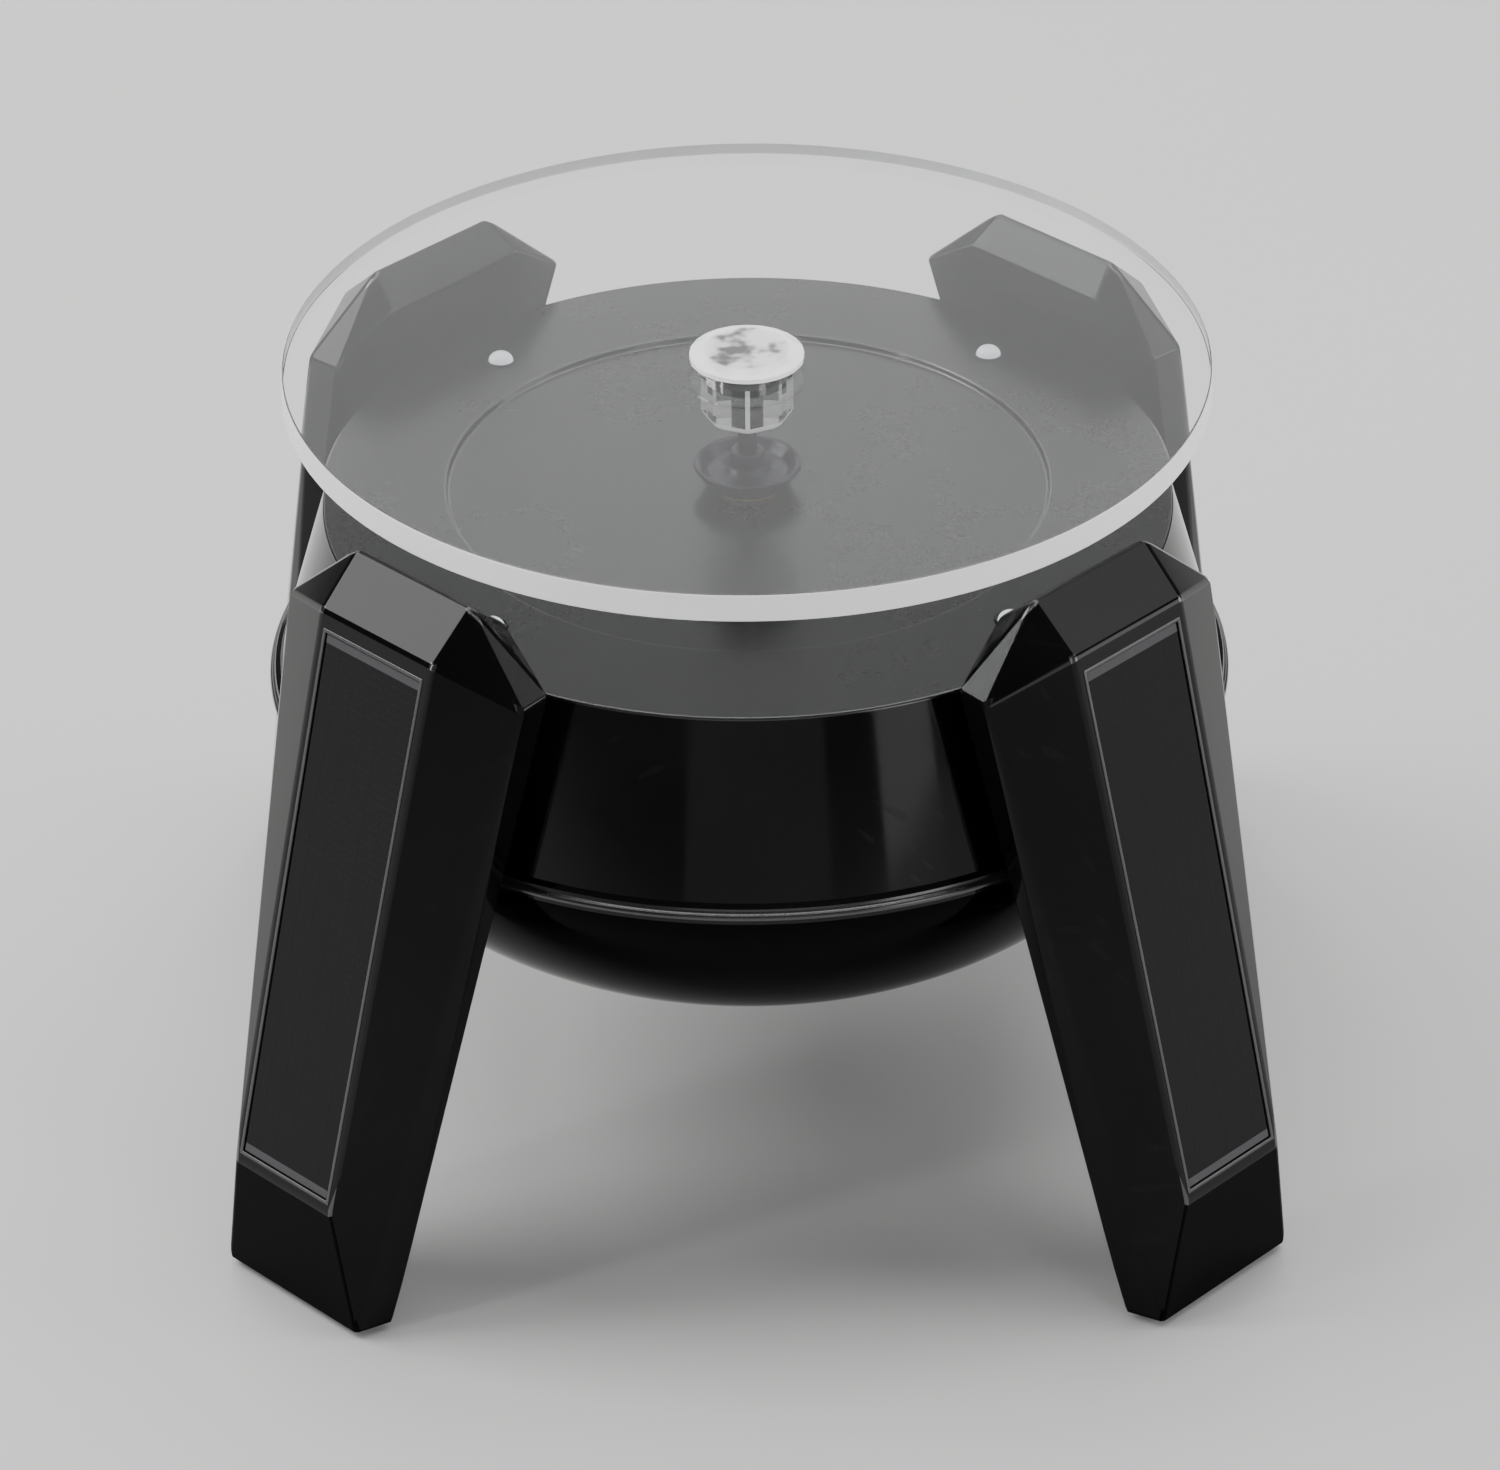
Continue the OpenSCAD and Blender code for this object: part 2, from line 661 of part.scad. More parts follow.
module shaft_bush() {
    color([0.72, 0.6, 0.3])
    difference() {
        union() {
            translate([0, 0, recess_z]) cylinder(h = bush_flange_t, r = bush_r + 1);
            translate([0, 0, deck_under - 2]) cylinder(h = recess_z - deck_under + 2 + eps, r = bush_r);
        }
        translate([0, 0, deck_under - 5]) cylinder(h = 20, r = shaft_r + run_fit);
    }
}

// ---- gearbox ----
// Turns of the gears at rest, so that each pair is in mesh
out_turn = 0;
second_turn = mesh_turn(out_teeth, small_teeth, out_turn, second_angle);
first_turn = mesh_turn(wheel_teeth, small_teeth, second_turn, first_angle);
pinion_turn = mesh_turn(wheel_teeth, pinion_teeth, first_turn, motor_angle);

module gear(teeth, turn, z, bore) {
    translate([0, 0, z])
        difference() {
            rotate([0, 0, turn]) linear_extrude(gear_t) gear_outline(teeth);
            translate([0, 0, -1]) cylinder(h = gear_t + 2, r = bore);
        }
}

module output_gear() {
    color(pale_plastic)
    union() {
        gear(out_teeth, out_turn, layer_a, shaft_r + seat_fit);
        difference() {
            translate([0, 0, layer_a - 2]) cylinder(h = 2 + eps, r = shaft_r + 1.6);
            translate([0, 0, layer_a - 3]) cylinder(h = 5, r = shaft_r + seat_fit);
        }
    }
}

// A wheel and a smaller pinion in one piece, joined by a short collar.
module compound_gear(at, wheel_z, small_z, turn, collar_low, collar_high) {
    translate([at[0], at[1], 0]) {
        gear(wheel_teeth, turn, wheel_z, arbor_r + run_fit);
        gear(small_teeth, turn, small_z, arbor_r + run_fit);
        difference() {
            translate([0, 0, collar_low]) cylinder(h = collar_high - collar_low, r = arbor_r + 1);
            translate([0, 0, collar_low - 1])
                cylinder(h = collar_high - collar_low + 2, r = arbor_r + run_fit);
        }
    }
}
module second_gear() {
    color(pale_plastic)
    compound_gear(second_at, layer_b, layer_a, second_turn, box_low + plate_t + air, box_top - plate_t - air);
}
module first_gear() {
    color(pale_plastic)
    compound_gear(first_at, layer_c, layer_b, first_turn, box_low + plate_t + air, box_top - plate_t - air);
}
module gear_arbors() {
    color(steel)
    for (p = [first_at, second_at])
        translate([p[0], p[1], box_low + 0.5])
            cylinder(h = box_top - box_low - 1, r = arbor_r);
}

module gearbox_base() {
    color(pale_plastic)
    difference() {
        translate([0, 0, box_low]) linear_extrude(plate_t) round_rect(box_x0, box_y0, box_x1, box_y1, 3);
        translate([0, 0, box_low - 1]) cylinder(h = plate_t + 2, r = shaft_r + run_fit);
        for (p = [first_at, second_at])
            translate([p[0], p[1], box_low - 1]) cylinder(h = plate_t + 2, r = arbor_r + seat_fit);
        for (p = box_posts)
            translate([p[0], p[1], box_low - 1]) cylinder(h = plate_t + 2, r = box_screw_r + loose_fit);
        translate([motor_at[0], motor_at[1], box_low - 1]) {
            cylinder(h = plate_t + 2, r = motor_nose_r + loose_fit);
            for (s = [0, 180])
                rotate([0, 0, motor_screw_angle + s])
                    translate([motor_screw_at, 0, 0]) cylinder(h = plate_t + 2, r = motor_screw_r + loose_fit);
        }
    }
}

module gearbox_cover() {
    color(pale_plastic)
    difference() {
        union() {
            difference() {
                translate([0, 0, box_low + plate_t])
                    linear_extrude(box_top - box_low - plate_t)
                        round_rect(box_x0, box_y0, box_x1, box_y1, 3);
                translate([0, 0, box_low + plate_t - 1])
                    linear_extrude(box_top - box_low - 2 * plate_t + 1)
                        round_rect(box_x0 + box_wall, box_y0 + box_wall, box_x1 - box_wall, box_y1 - box_wall, 2);
            }
            for (p = box_posts)
                translate([p[0], p[1], box_low + plate_t])
                    cylinder(h = box_top - box_low - 1.5 * plate_t, r = box_post_r);
        }
        translate([0, 0, box_top - plate_t - 1]) cylinder(h = plate_t + 2, r = shaft_r + run_fit);
        for (p = [first_at, second_at])
            translate([p[0], p[1], box_top - plate_t - 1]) cylinder(h = plate_t + 2, r = arbor_r + seat_fit);
        for (p = box_posts)
            translate([p[0], p[1], box_low]) cylinder(h = box_top - box_low + 1, r = box_screw_r + loose_fit);
    }
}

// ---- motor ----
can_t = 0.8;
module motor_can() {
    color([0.66, 0.66, 0.68])
    translate([motor_at[0], motor_at[1], 0])
    difference() {
        union() {
            translate([0, 0, motor_low]) cylinder(h = motor_l, r = motor_r);
            translate([0, 0, box_low - eps]) cylinder(h = motor_nose_t + eps, r = motor_nose_r);
        }
        translate([0, 0, motor_low - 1]) cylinder(h = motor_l - can_t + 1, r = motor_r - can_t);
        translate([0, 0, motor_low]) cylinder(h = 30, r = motor_shaft_r + run_fit);
        for (s = [0, 180])
            rotate([0, 0, motor_screw_angle + s])
                translate([motor_screw_at, 0, box_low - 3]) cylinder(h = 4, r = motor_screw_r + seat_fit);
    }
}
module motor_end_cap() {
    color([0.9, 0.9, 0.88])
    translate([motor_at[0], motor_at[1], 0])
    difference() {
        union() {
            translate([0, 0, motor_low - 1]) cylinder(h = 1, r = motor_r - 0.6);
            translate([0, 0, motor_low - eps]) cylinder(h = 1.2, r = motor_r - can_t - seat_fit);
            for (s = [-1, 1])
                translate([s * 5 - 0.75, -8, motor_low - 2.2]) cube([1.5, 0.5, 1.7]);
        }
        translate([0, 0, motor_low - 0.4]) cylinder(h = 3, r = motor_shaft_r + run_fit);
    }
}
magnet_t = 1.8;
module motor_magnet() {
    color([0.2, 0.2, 0.22])
    translate([motor_at[0], motor_at[1], motor_low + 2])
    difference() {
        cylinder(h = motor_l - 4, r = motor_r - can_t - seat_fit);
        translate([0, 0, -1]) cylinder(h = motor_l, r = motor_r - can_t - magnet_t);
    }
}
module motor_shaft() {
    color(steel)
    translate([motor_at[0], motor_at[1], motor_low - 0.3])
        cylinder(h = layer_c + gear_t - motor_low + 0.3, r = motor_shaft_r);
}
module motor_armature() {
    color([0.72, 0.42, 0.2])
    translate([motor_at[0], motor_at[1], motor_low + 2.4])
    difference() {
        linear_extrude(motor_l - 5.2)
            union() {
                circle(4);
                for (a = [0, 120, 240])
                    rotate([0, 0, a])
                        intersection() {
                            circle(motor_r - can_t - magnet_t - 0.5);
                            translate([0, -4.2]) square([20, 8.4]);
                        }
            }
        translate([0, 0, -1]) cylinder(h = motor_l, r = motor_shaft_r + seat_fit);
    }
}
module motor_pinion() {
    color([0.85, 0.72, 0.4])
    translate([motor_at[0], motor_at[1], 0])
        gear(pinion_teeth, pinion_turn, layer_c, motor_shaft_r + seat_fit);
}

// ---- circuit board ----
module circuit_board() {
    color([0.1, 0.36, 0.2])
    difference() {
        translate([board_at[0] - board_l / 2, board_at[1] - board_w / 2, board_at[2]])
            cube([board_l, board_w, board_t]);
        for (s = [-1, 1])
            translate([s * board_hole_x, board_at[1], board_at[2] - 1])
                cylinder(h = board_t + 2, r = board_screw_r + loose_fit);
    }
}
module board_components() {
    under = board_at[2];
    over = board_at[2] + board_t;
    color([0.15, 0.15, 0.16]) {
        translate([-6, board_at[1] - 3, under - 1.7]) cube([9, 5, 1.7]);
        translate([8, board_at[1] + 4, under - 7]) cylinder(h = 7, r = 2.5);
        translate([-12, board_at[1] + 5, under - 5]) cylinder(h = 5, r = 2);
        for (k = [0 : 3])
            translate([-8 + 3 * k, board_at[1] - 7, under - 0.6]) cube([1.6, 0.8, 0.6]);
        translate([-10, board_at[1] + 5, over]) cube([6, 3, 4]);
        translate([4, board_at[1] + 5, over]) cube([6, 3, 4]);
    }
}

// ---- battery ----
battery_end = well_l / 2 - contact_t - 0.05;
module battery_cell() {
    button_l = 1.2;
    color([0.2, 0.35, 0.25])
    translate([battery_end, well_y, battery_z])
        rotate([0, -90, 0]) {
            cylinder(h = button_l + eps, r = 2.7);
            translate([0, 0, button_l]) cylinder(h = battery_l - button_l, r = battery_r);
        }
}
spring_turns = 3;
module battery_spring() {
    wire_r = 0.35;
    start = -well_l / 2 + contact_t + wire_r + 0.02;
    finish = battery_end - battery_l - wire_r - 0.03;
    rings = 48;
    color(steel)
    wire([for (k = [0 : rings]) let (t = k / rings, r = battery_r - 2.5 - 1.6 * t, a = 360 * spring_turns * t)
        [start + (finish - start) * t, well_y + r * cos(a), battery_z + r * sin(a)]], wire_r, rings);
}
module battery_contacts() {
    contact_w = 2 * battery_r - 3.2;
    color(steel) {
        translate([-well_l / 2, well_y - contact_w / 2, battery_z - contact_w / 2])
            cube([contact_t, contact_w, contact_w]);
        translate([well_l / 2 - contact_t, well_y - contact_w / 2, battery_z - contact_w / 2])
            cube([contact_t, contact_w, contact_w]);
    }
}

// The door in the underside, which swings down on its pin.
module battery_door() {
    grip_ribs = 5;
    grip_w = hinge_len - 3.8;
    color(black)
    difference() {
        union() {
            translate([-well_l / 2 + door_gap, well_y - well_w / 2 + door_gap, base_z])
                cube([well_l - 2 * door_gap, well_w - 2 * door_gap, door_t]);
            translate([hinge_x, well_y, hinge_z])
                rotate([90, 0, 0]) cylinder(h = hinge_len, r = hinge_r, center = true);
            translate([hinge_x, well_y - hinge_len / 2, hinge_z - hinge_r])
                cube([hinge_reach + 4, hinge_len, hinge_r + 0.9]);
            translate([-well_l / 2 + door_gap + 0.4, well_y - hinge_len / 2, hinge_z])
                cube([3, hinge_len, base_z - hinge_z + eps]);
            for (k = [0 : grip_ribs - 1])
                translate([well_l / 2 - 4 - 1.6 * k, well_y - grip_w / 2, base_z - 0.5])
                    cube([0.7, grip_w, 0.5 + eps]);
        }
        translate([hinge_x, well_y, hinge_z])
            rotate([90, 0, 0]) cylinder(h = hinge_len + 2, r = hinge_pin_r + run_fit, center = true);
    }
}
module door_pin() {
    color(steel)
    translate([hinge_x, well_y, hinge_z])
        rotate([90, 0, 0]) cylinder(h = hinge_len + 2 * air + 2 * ear_t, r = hinge_pin_r, center = true);
}

// ---- power switch ----
module switch_body() {
    color([0.55, 0.55, 0.57])
    difference() {
        union() {
            translate([-switch_l / 2, switch_y - switch_w / 2, floor_in]) cube([switch_l, switch_w, switch_h]);
            for (k = [-1, 0, 1])
                translate([2.5 * k - 0.4, switch_y - 0.25, floor_in + switch_h - eps]) cube([0.8, 0.5, 2.5]);
        }
        translate([-(knob_l + switch_travel) / 2 - slot_gap, switch_y - knob_w / 2 - slot_gap, floor_in - 1])
            cube([knob_l + switch_travel + 2 * slot_gap, knob_w + 2 * slot_gap, 1 + 2]);
    }
}
module switch_slider() {
    knob_low = base_z - 1.6;
    color([0.8, 0.8, 0.8])
    difference() {
        translate([-(knob_l + switch_travel) / 2, switch_y - knob_w / 2, knob_low])
            cube([knob_l, knob_w, floor_in + 1.7 - knob_low]);
        for (k = [0 : 2])
            translate([-(knob_l + switch_travel) / 2 + 0.35 + 0.7 * k, switch_y - 2, knob_low - eps])
                cube([0.3, 4, 0.3]);
    }
}

// ---- fasteners ----
module housing_screws() {
    color(steel)
    for (a = housing_screw_angles)
        rotate([0, 0, a])
            translate([housing_screw_at, 0, housing_head_z])
                screw(screw_r, screw_head_r, screw_head_t, housing_screw_l);
}
module leg_screws() {
    color(steel)
    for (a = LEG_ANGLES)
        for (z = leg_screw_z)
            rotate([0, 0, a])
                on_leg(0)
                    translate([down(z), 0, -(leg_gap + wall) * level - head_lift])
                        screw(screw_r, screw_head_r, screw_head_t, 10);
}
module foot_screws() {
    color(steel)
    for (a = LEG_ANGLES)
        rotate([0, 0, a])
            on_leg(0)
                translate([down(foot_screw_z), 0, foot_head_t])
                    screw(screw_r, screw_head_r, foot_head_t, 6);
}
module gearbox_screws() {
    color(steel)
    for (p = box_posts)
        translate([p[0], p[1], box_low])
            screw(box_screw_r, 1.9, screw_head_t, box_top - box_low + 4);
}
module motor_screws() {
    color(steel)
    translate([motor_at[0], motor_at[1], box_low + plate_t])
        for (s = [0, 180])
            rotate([0, 0, motor_screw_angle + s])
                translate([motor_screw_at, 0, 0])
                    rotate([180, 0, 0]) screw(motor_screw_r, 1.4, 0.7, plate_t + can_t);
}
module board_screws() {
    color(steel)
    for (s = [-1, 1])
        translate([s * board_hole_x, board_at[1], board_at[2]])
            screw(board_screw_r, 1.7, 1.2, 8);
}

// ---- leads ----
lead_r = 0.55;
function around(r, a, z) = [r * cos(a), r * sin(a), z];
// A point on the axis of a leg's lead hole, at a depth square to the leaning plane
function in_leg(depth, a) = around(back_r(lead_z) + depth * level, a, lead_z + depth * sin(lean));

// A pair of leads from each cell, through the leg and the housing to the board.
module cell_leads() {
    apart = 0.95;
    ring_r = cone_r(lead_z) - wall - 3.5;
    low = board_at[2] + board_t + 1.8;
    inner = leg_depth - 3;
    through = -6;
    on_board = board_at[2] + board_t + lead_r;
    color([0.6, 0.1, 0.1])
    for (side = [-1, 1]) for (s = [-1, 1]) {
        edge = side > 0 ? REAR_RIGHT : REAR_LEFT;
        from = side > 0 ? FRONT_RIGHT : FRONT_LEFT;
        half = side * s * 0.95;
        // rear legs: short run to the board
        wire([in_leg(inner, edge + half), in_leg(0, edge + half), in_leg(through, edge + half),
            [side * 30, 34 + s * apart, lead_z - 3],
            [side * 25, 35 + s * apart, low], [side * 20.5, 35 + s * apart, on_board]], lead_r, 22);
        // front legs: round the housing, clear of the gearbox
        wire([in_leg(inner, from - half), in_leg(0, from - half), in_leg(through, from - half),
            around(ring_r - s * apart, side > 0 ? -36 : 216, lead_z - 2.4),
            around(ring_r - 1.5 - s * apart, side > 0 ? -24 : 204, lead_z - 3),
            around(ring_r - 1.5 - s * apart, side > 0 ? -8 : 188, low + 2),
            around(ring_r - 1.5 - s * apart, side > 0 ? 10 : 170, low + 1),
            around(ring_r - 2.5 - s * apart, side > 0 ? 26 : 154, low),
            [side * 29, 26 - s * apart, low],
            [side * 20.5, 27 - s * apart, on_board]], lead_r, 34);
    }
}

module motor_leads() {
    low = motor_low - 1.8;
    color([0.1, 0.1, 0.6])
    for (s = [-1, 1])
        wire([[motor_at[0] + s * 5, motor_at[1] - 9, low],
            [motor_at[0] + s * 5, motor_at[1] - 12.5, low],
            [motor_at[0] - 8 + s * 2, motor_at[1] - 15 - s * 1.9, low + 1],
            [motor_at[0] - 17 - s * 0.8, motor_at[1] - 7 - s * 0.8, low + 5],
            [-27 - s * 0.8, 2, low + 11],
            [-29 - s * 0.8, 16, board_at[2] - 5],
            [-26, 24 + s * 0.8, board_at[2] - 3],
            [-19.5, 25 + s * 0.8, board_at[2] - lead_r]], lead_r, 30);
}

module battery_leads() {
    color([0.7, 0.1, 0.1])
    for (s = [-1, 1])
        wire([[s * (well_l / 2 + well_wall + 0.8), well_y, battery_z + 3],
            [s * (well_l / 2 + well_wall + 1.2), well_y + 6, well_top - 4],
            [s * 27, well_y + 14, well_top + 6],
            [s * 16, 26, board_at[2] - 5],
            [s * 14, 26, board_at[2] - lead_r]], lead_r, 18);
}

upper_housing();
lower_housing();
leg_shell(FRONT_LEFT);  // leg_shell_front_left
leg_shell(FRONT_RIGHT);  // leg_shell_front_right
leg_shell(REAR_LEFT);  // leg_shell_rear_left
leg_shell(REAR_RIGHT);  // leg_shell_rear_right
leg_cover(FRONT_LEFT);  // leg_cover_front_left
leg_cover(FRONT_RIGHT);  // leg_cover_front_right
leg_cover(REAR_LEFT);  // leg_cover_rear_left
leg_cover(REAR_RIGHT);  // leg_cover_rear_right
solar_cell(FRONT_LEFT);  // solar_cell_front_left
solar_cell(FRONT_RIGHT);  // solar_cell_front_right
solar_cell(REAR_LEFT);  // solar_cell_rear_left
solar_cell(REAR_RIGHT);  // solar_cell_rear_right
deck_lamps();
foot_pads();
turntable_disc();
disc_hub();
hub_post();
drive_coupling();
output_shaft();
output_gear();
shaft_bush();
gearbox_base();
gearbox_cover();
first_gear();
second_gear();
gear_arbors();
motor_can();
motor_end_cap();
motor_magnet();
motor_shaft();
motor_armature();
motor_pinion();
circuit_board();
board_components();
battery_cell();
battery_spring();
battery_contacts();
battery_door();
door_pin();
switch_body();
switch_slider();
housing_screws();
leg_screws();
foot_screws();
gearbox_screws();
motor_screws();
board_screws();
cell_leads();
motor_leads();
battery_leads();
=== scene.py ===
"""Looks of the turntable display stand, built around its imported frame.

Each sub-assembly is a class with its sizes in millimetres as fields, and each finish is a small
frozen dataclass that builds one procedural material.
"""

import json
import logging
import math
from dataclasses import dataclass, field
from enum import Enum
from typing import Iterable, Sequence

import bmesh
import bpy
from mathutils import Matrix, Vector


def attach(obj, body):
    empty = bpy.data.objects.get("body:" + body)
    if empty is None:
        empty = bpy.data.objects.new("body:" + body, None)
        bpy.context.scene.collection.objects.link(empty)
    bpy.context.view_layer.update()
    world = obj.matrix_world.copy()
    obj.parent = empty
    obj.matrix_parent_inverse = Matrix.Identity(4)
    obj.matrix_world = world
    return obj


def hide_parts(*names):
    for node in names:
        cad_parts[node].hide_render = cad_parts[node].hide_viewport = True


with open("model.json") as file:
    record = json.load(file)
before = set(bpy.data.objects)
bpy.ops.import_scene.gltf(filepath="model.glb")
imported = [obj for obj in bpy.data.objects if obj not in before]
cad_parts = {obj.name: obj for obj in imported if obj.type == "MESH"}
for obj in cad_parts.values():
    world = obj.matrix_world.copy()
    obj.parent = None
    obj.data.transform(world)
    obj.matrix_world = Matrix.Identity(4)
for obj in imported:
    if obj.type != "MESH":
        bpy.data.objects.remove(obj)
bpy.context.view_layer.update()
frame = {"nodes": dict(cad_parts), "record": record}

log = logging.getLogger("stand")
MM = 0.001
MIX_SHARE, MIX_FIRST, MIX_SECOND, MIX_COLOUR = 0, 6, 7, 2  # a Mix node's sockets when it mixes colours
Point = tuple[float, float]
Colour = tuple[float, float, float, float]


class Leg(Enum):
    """The four legs, by their angle round the turning axis in degrees."""

    front_left = 225
    front_right = 315
    rear_left = 135
    rear_right = 45


class Edge(Enum):
    """How softly a moulded or machined edge is rounded, in millimetres."""

    crisp = 0.15
    moulded = 0.4


# ---------------------------------------------------------------- shader maths


class Value:
    """One output socket, with Python's arithmetic on it."""

    def __init__(self, tree: "Shading", socket: bpy.types.NodeSocket) -> None:
        """Keeps the socket and the node tree that it belongs to."""
        self.tree = tree
        self.socket = socket

    def _math(self, operation: str, *others: object) -> "Value":
        """Adds one Math node with this value as its first input."""
        return self.tree.add("ShaderNodeMath", {"operation": operation}, [self, *others])

    def __add__(self, other: object) -> "Value":
        """Sum."""
        return self._math("ADD", other)

    __radd__ = __add__

    def __mul__(self, other: object) -> "Value":
        """Product."""
        return self._math("MULTIPLY", other)

    __rmul__ = __mul__

    def __sub__(self, other: object) -> "Value":
        """Difference."""
        return self._math("SUBTRACT", other)

    def __rsub__(self, other: float) -> "Value":
        """A number less this value."""
        return self.tree.add("ShaderNodeMath", {"operation": "SUBTRACT"}, [other, self])

    def __pow__(self, other: float) -> "Value":
        """Power."""
        return self._math("POWER", other)

    def __rpow__(self, other: float) -> "Value":
        """A number to the power of this value."""
        return self.tree.add("ShaderNodeMath", {"operation": "POWER"}, [other, self])

    def __gt__(self, other: object) -> "Value":
        """1 where this value is the larger one, else 0."""
        return self._math("GREATER_THAN", other)

    def __lt__(self, other: object) -> "Value":
        """1 where this value is the smaller one, else 0."""
        return self._math("LESS_THAN", other)

    def wrap(self, low: float, high: float) -> "Value":
        """The value wrapped between two numbers, for repeats."""
        return self._math("WRAP", high, low)

    def size(self) -> "Value":
        """The value without its sign."""
        return self._math("ABSOLUTE")

    def ramp(self, low: float, high: float, out_low: float = 0.0, out_high: float = 1.0) -> "Value":
        """The value taken from one range to another, smoothly and held at the ends."""
        settings = {"interpolation_type": "SMOOTHSTEP", "clamp": True}
        return self.tree.add("ShaderNodeMapRange", settings, [self, low, high, out_low, out_high])


class Shading:
    """The node tree of one material."""

    def __init__(self, name: str) -> None:
        """Makes an empty material with its shader and output."""
        self.material = bpy.data.materials.new(name)
        self.material.use_nodes = True
        self.nodes = self.material.node_tree.nodes
        self.links = self.material.node_tree.links
        self.nodes.clear()
        self.output = self.nodes.new("ShaderNodeOutputMaterial")
        self.shader = self.nodes.new("ShaderNodeBsdfPrincipled")
        self.links.new(self.shader.outputs["BSDF"], self.output.inputs["Surface"])

    def put(self, socket: bpy.types.NodeSocket, value: object) -> None:
        """Sets a socket to a number or colour, or links a value to it.

        Args:
            socket: the input to set.
            value: a number, a colour, a socket or a wrapped socket.
        """
        if isinstance(value, Value):
            self.links.new(value.socket, socket)
        elif isinstance(value, bpy.types.NodeSocket):
            self.links.new(value, socket)
        else:
            socket.default_value = value

    def add(
        self, kind: str, settings: dict[str, object], inputs: object = (), output: int | str = 0
    ) -> Value:
        """Adds one node.

        Args:
            kind: the node's type.
            settings: its own settings, which are set before its sockets.
            inputs: values for its sockets, in order or by name.
            output: which output to return.

        Returns:
            The chosen output as a value.
        """
        node = self.nodes.new(kind)
        for key, setting in settings.items():
            setattr(node, key, setting)
        pairs = inputs.items() if isinstance(inputs, dict) else enumerate(inputs)
        for key, value in pairs:
            self.put(node.inputs[key], value)
        return Value(self, node.outputs[output])

    def place(self) -> Value:
        """Object coordinates, in metres."""
        return self.add("ShaderNodeTexCoord", {}, output="Object")

    def uv(self) -> Value:
        """The piece's own UV map."""
        return self.add("ShaderNodeTexCoord", {}, output="UV")

    def axes(self, vector: Value) -> tuple[Value, Value, Value]:
        """The three parts of a vector.

        Args:
            vector: the vector to split.

        Returns:
            Its X, Y and Z.
        """
        first = self.add("ShaderNodeSeparateXYZ", {}, [vector])
        outputs = first.socket.node.outputs
        return first, Value(self, outputs[1]), Value(self, outputs[2])

    def noise(self, where: Value, scale: float, detail: float = 3.0, roughness: float = 0.5) -> Value:
        """Cloudy noise from 0 to 1."""
        inputs = {"Vector": where, "Scale": scale, "Detail": detail, "Roughness": roughness}
        return self.add("ShaderNodeTexNoise", {}, inputs)

    def mix(self, share: object, first: object, second: object) -> Value:
        """A colour between two colours."""
        sockets = {MIX_SHARE: share, MIX_FIRST: first, MIX_SECOND: second}
        return self.add("ShaderNodeMix", {"data_type": "RGBA"}, sockets, MIX_COLOUR)

    def bump(self, height: Value, distance: float, strength: float = 1.0) -> None:
        """Feeds a height into the shader's normal."""
        inputs = {"Height": height, "Distance": distance, "Strength": strength}
        self.put(self.shader.inputs["Normal"], self.add("ShaderNodeBump", {}, inputs))

    def dress(self, **values: object) -> None:
        """Sets the shader's sockets, with a name's blanks as underlines."""
        for key, value in values.items():
            self.put(self.shader.inputs[key.replace("_", " ")], value)


# ---------------------------------------------------------------- finishes


def grey(value: float) -> Colour:
    """An opaque grey."""
    return (value, value, value, 1.0)


def rgb(red: float, green: float, blue: float) -> Colour:
    """An opaque colour."""
    return (red, green, blue, 1.0)


@dataclass(frozen=True)
class PianoBlack:
    """Glossy black moulded plastic with faint handling marks and dust; its brighter copy on softened edges is
    a painted highlight, and its darker copies are painted shade.
    """

    name: str = "piano_black"
    black: Colour = grey(0.0018)
    worn: Colour = rgb(0.008, 0.008, 0.0082)
    gloss: float = 0.05
    ior: float = 1.3

    def build(self) -> bpy.types.Material:
        """Builds the material.

        Returns:
            The material.
        """
        s = Shading(self.name)
        where = s.place()
        smear = s.noise(where, 26, 4, 0.6).ramp(0.42, 0.72)
        grain = s.noise(where, 900, 2)
        hair = s.add(
            "ShaderNodeTexNoise", {}, {"Vector": s.add(
                "ShaderNodeMapping", {}, {"Vector": where, "Scale": (40, 1400, 300)}),
                "Scale": 1.0, "Detail": 1.0},
        ).ramp(0.68, 0.74)
        s.dress(
            Base_Color=s.mix(smear * 0.35 + hair * 0.25, self.black, self.worn),
            Roughness=smear * 0.055 + hair * 0.05 + grain * 0.015 + self.gloss,
            IOR=self.ior,
        )
        s.bump(s.noise(where, 55, 2) + grain * 0.02, 0.00006, 0.35)
        return s.material


@dataclass(frozen=True)
class SatinDeck:
    """The case's flat top: finely etched black plastic that blurs what it mirrors."""

    name: str = "satin_deck"
    black: Colour = grey(0.003)
    pale: Colour = grey(0.008)

    def build(self) -> bpy.types.Material:
        """Builds the material.

        Returns:
            The material.
        """
        s = Shading(self.name)
        where = s.place()
        etch = s.noise(where, 1100, 2)
        wear = s.noise(where, 35, 5, 0.6).ramp(0.45, 0.75)
        s.dress(
            Base_Color=s.mix(wear * 0.4 + etch * 0.2, self.black, self.pale),
            Roughness=wear * 0.04 + etch * 0.03 + 0.25,
            IOR=1.46,
        )
        s.bump(etch, 0.000004, 0.08)
        return s.material


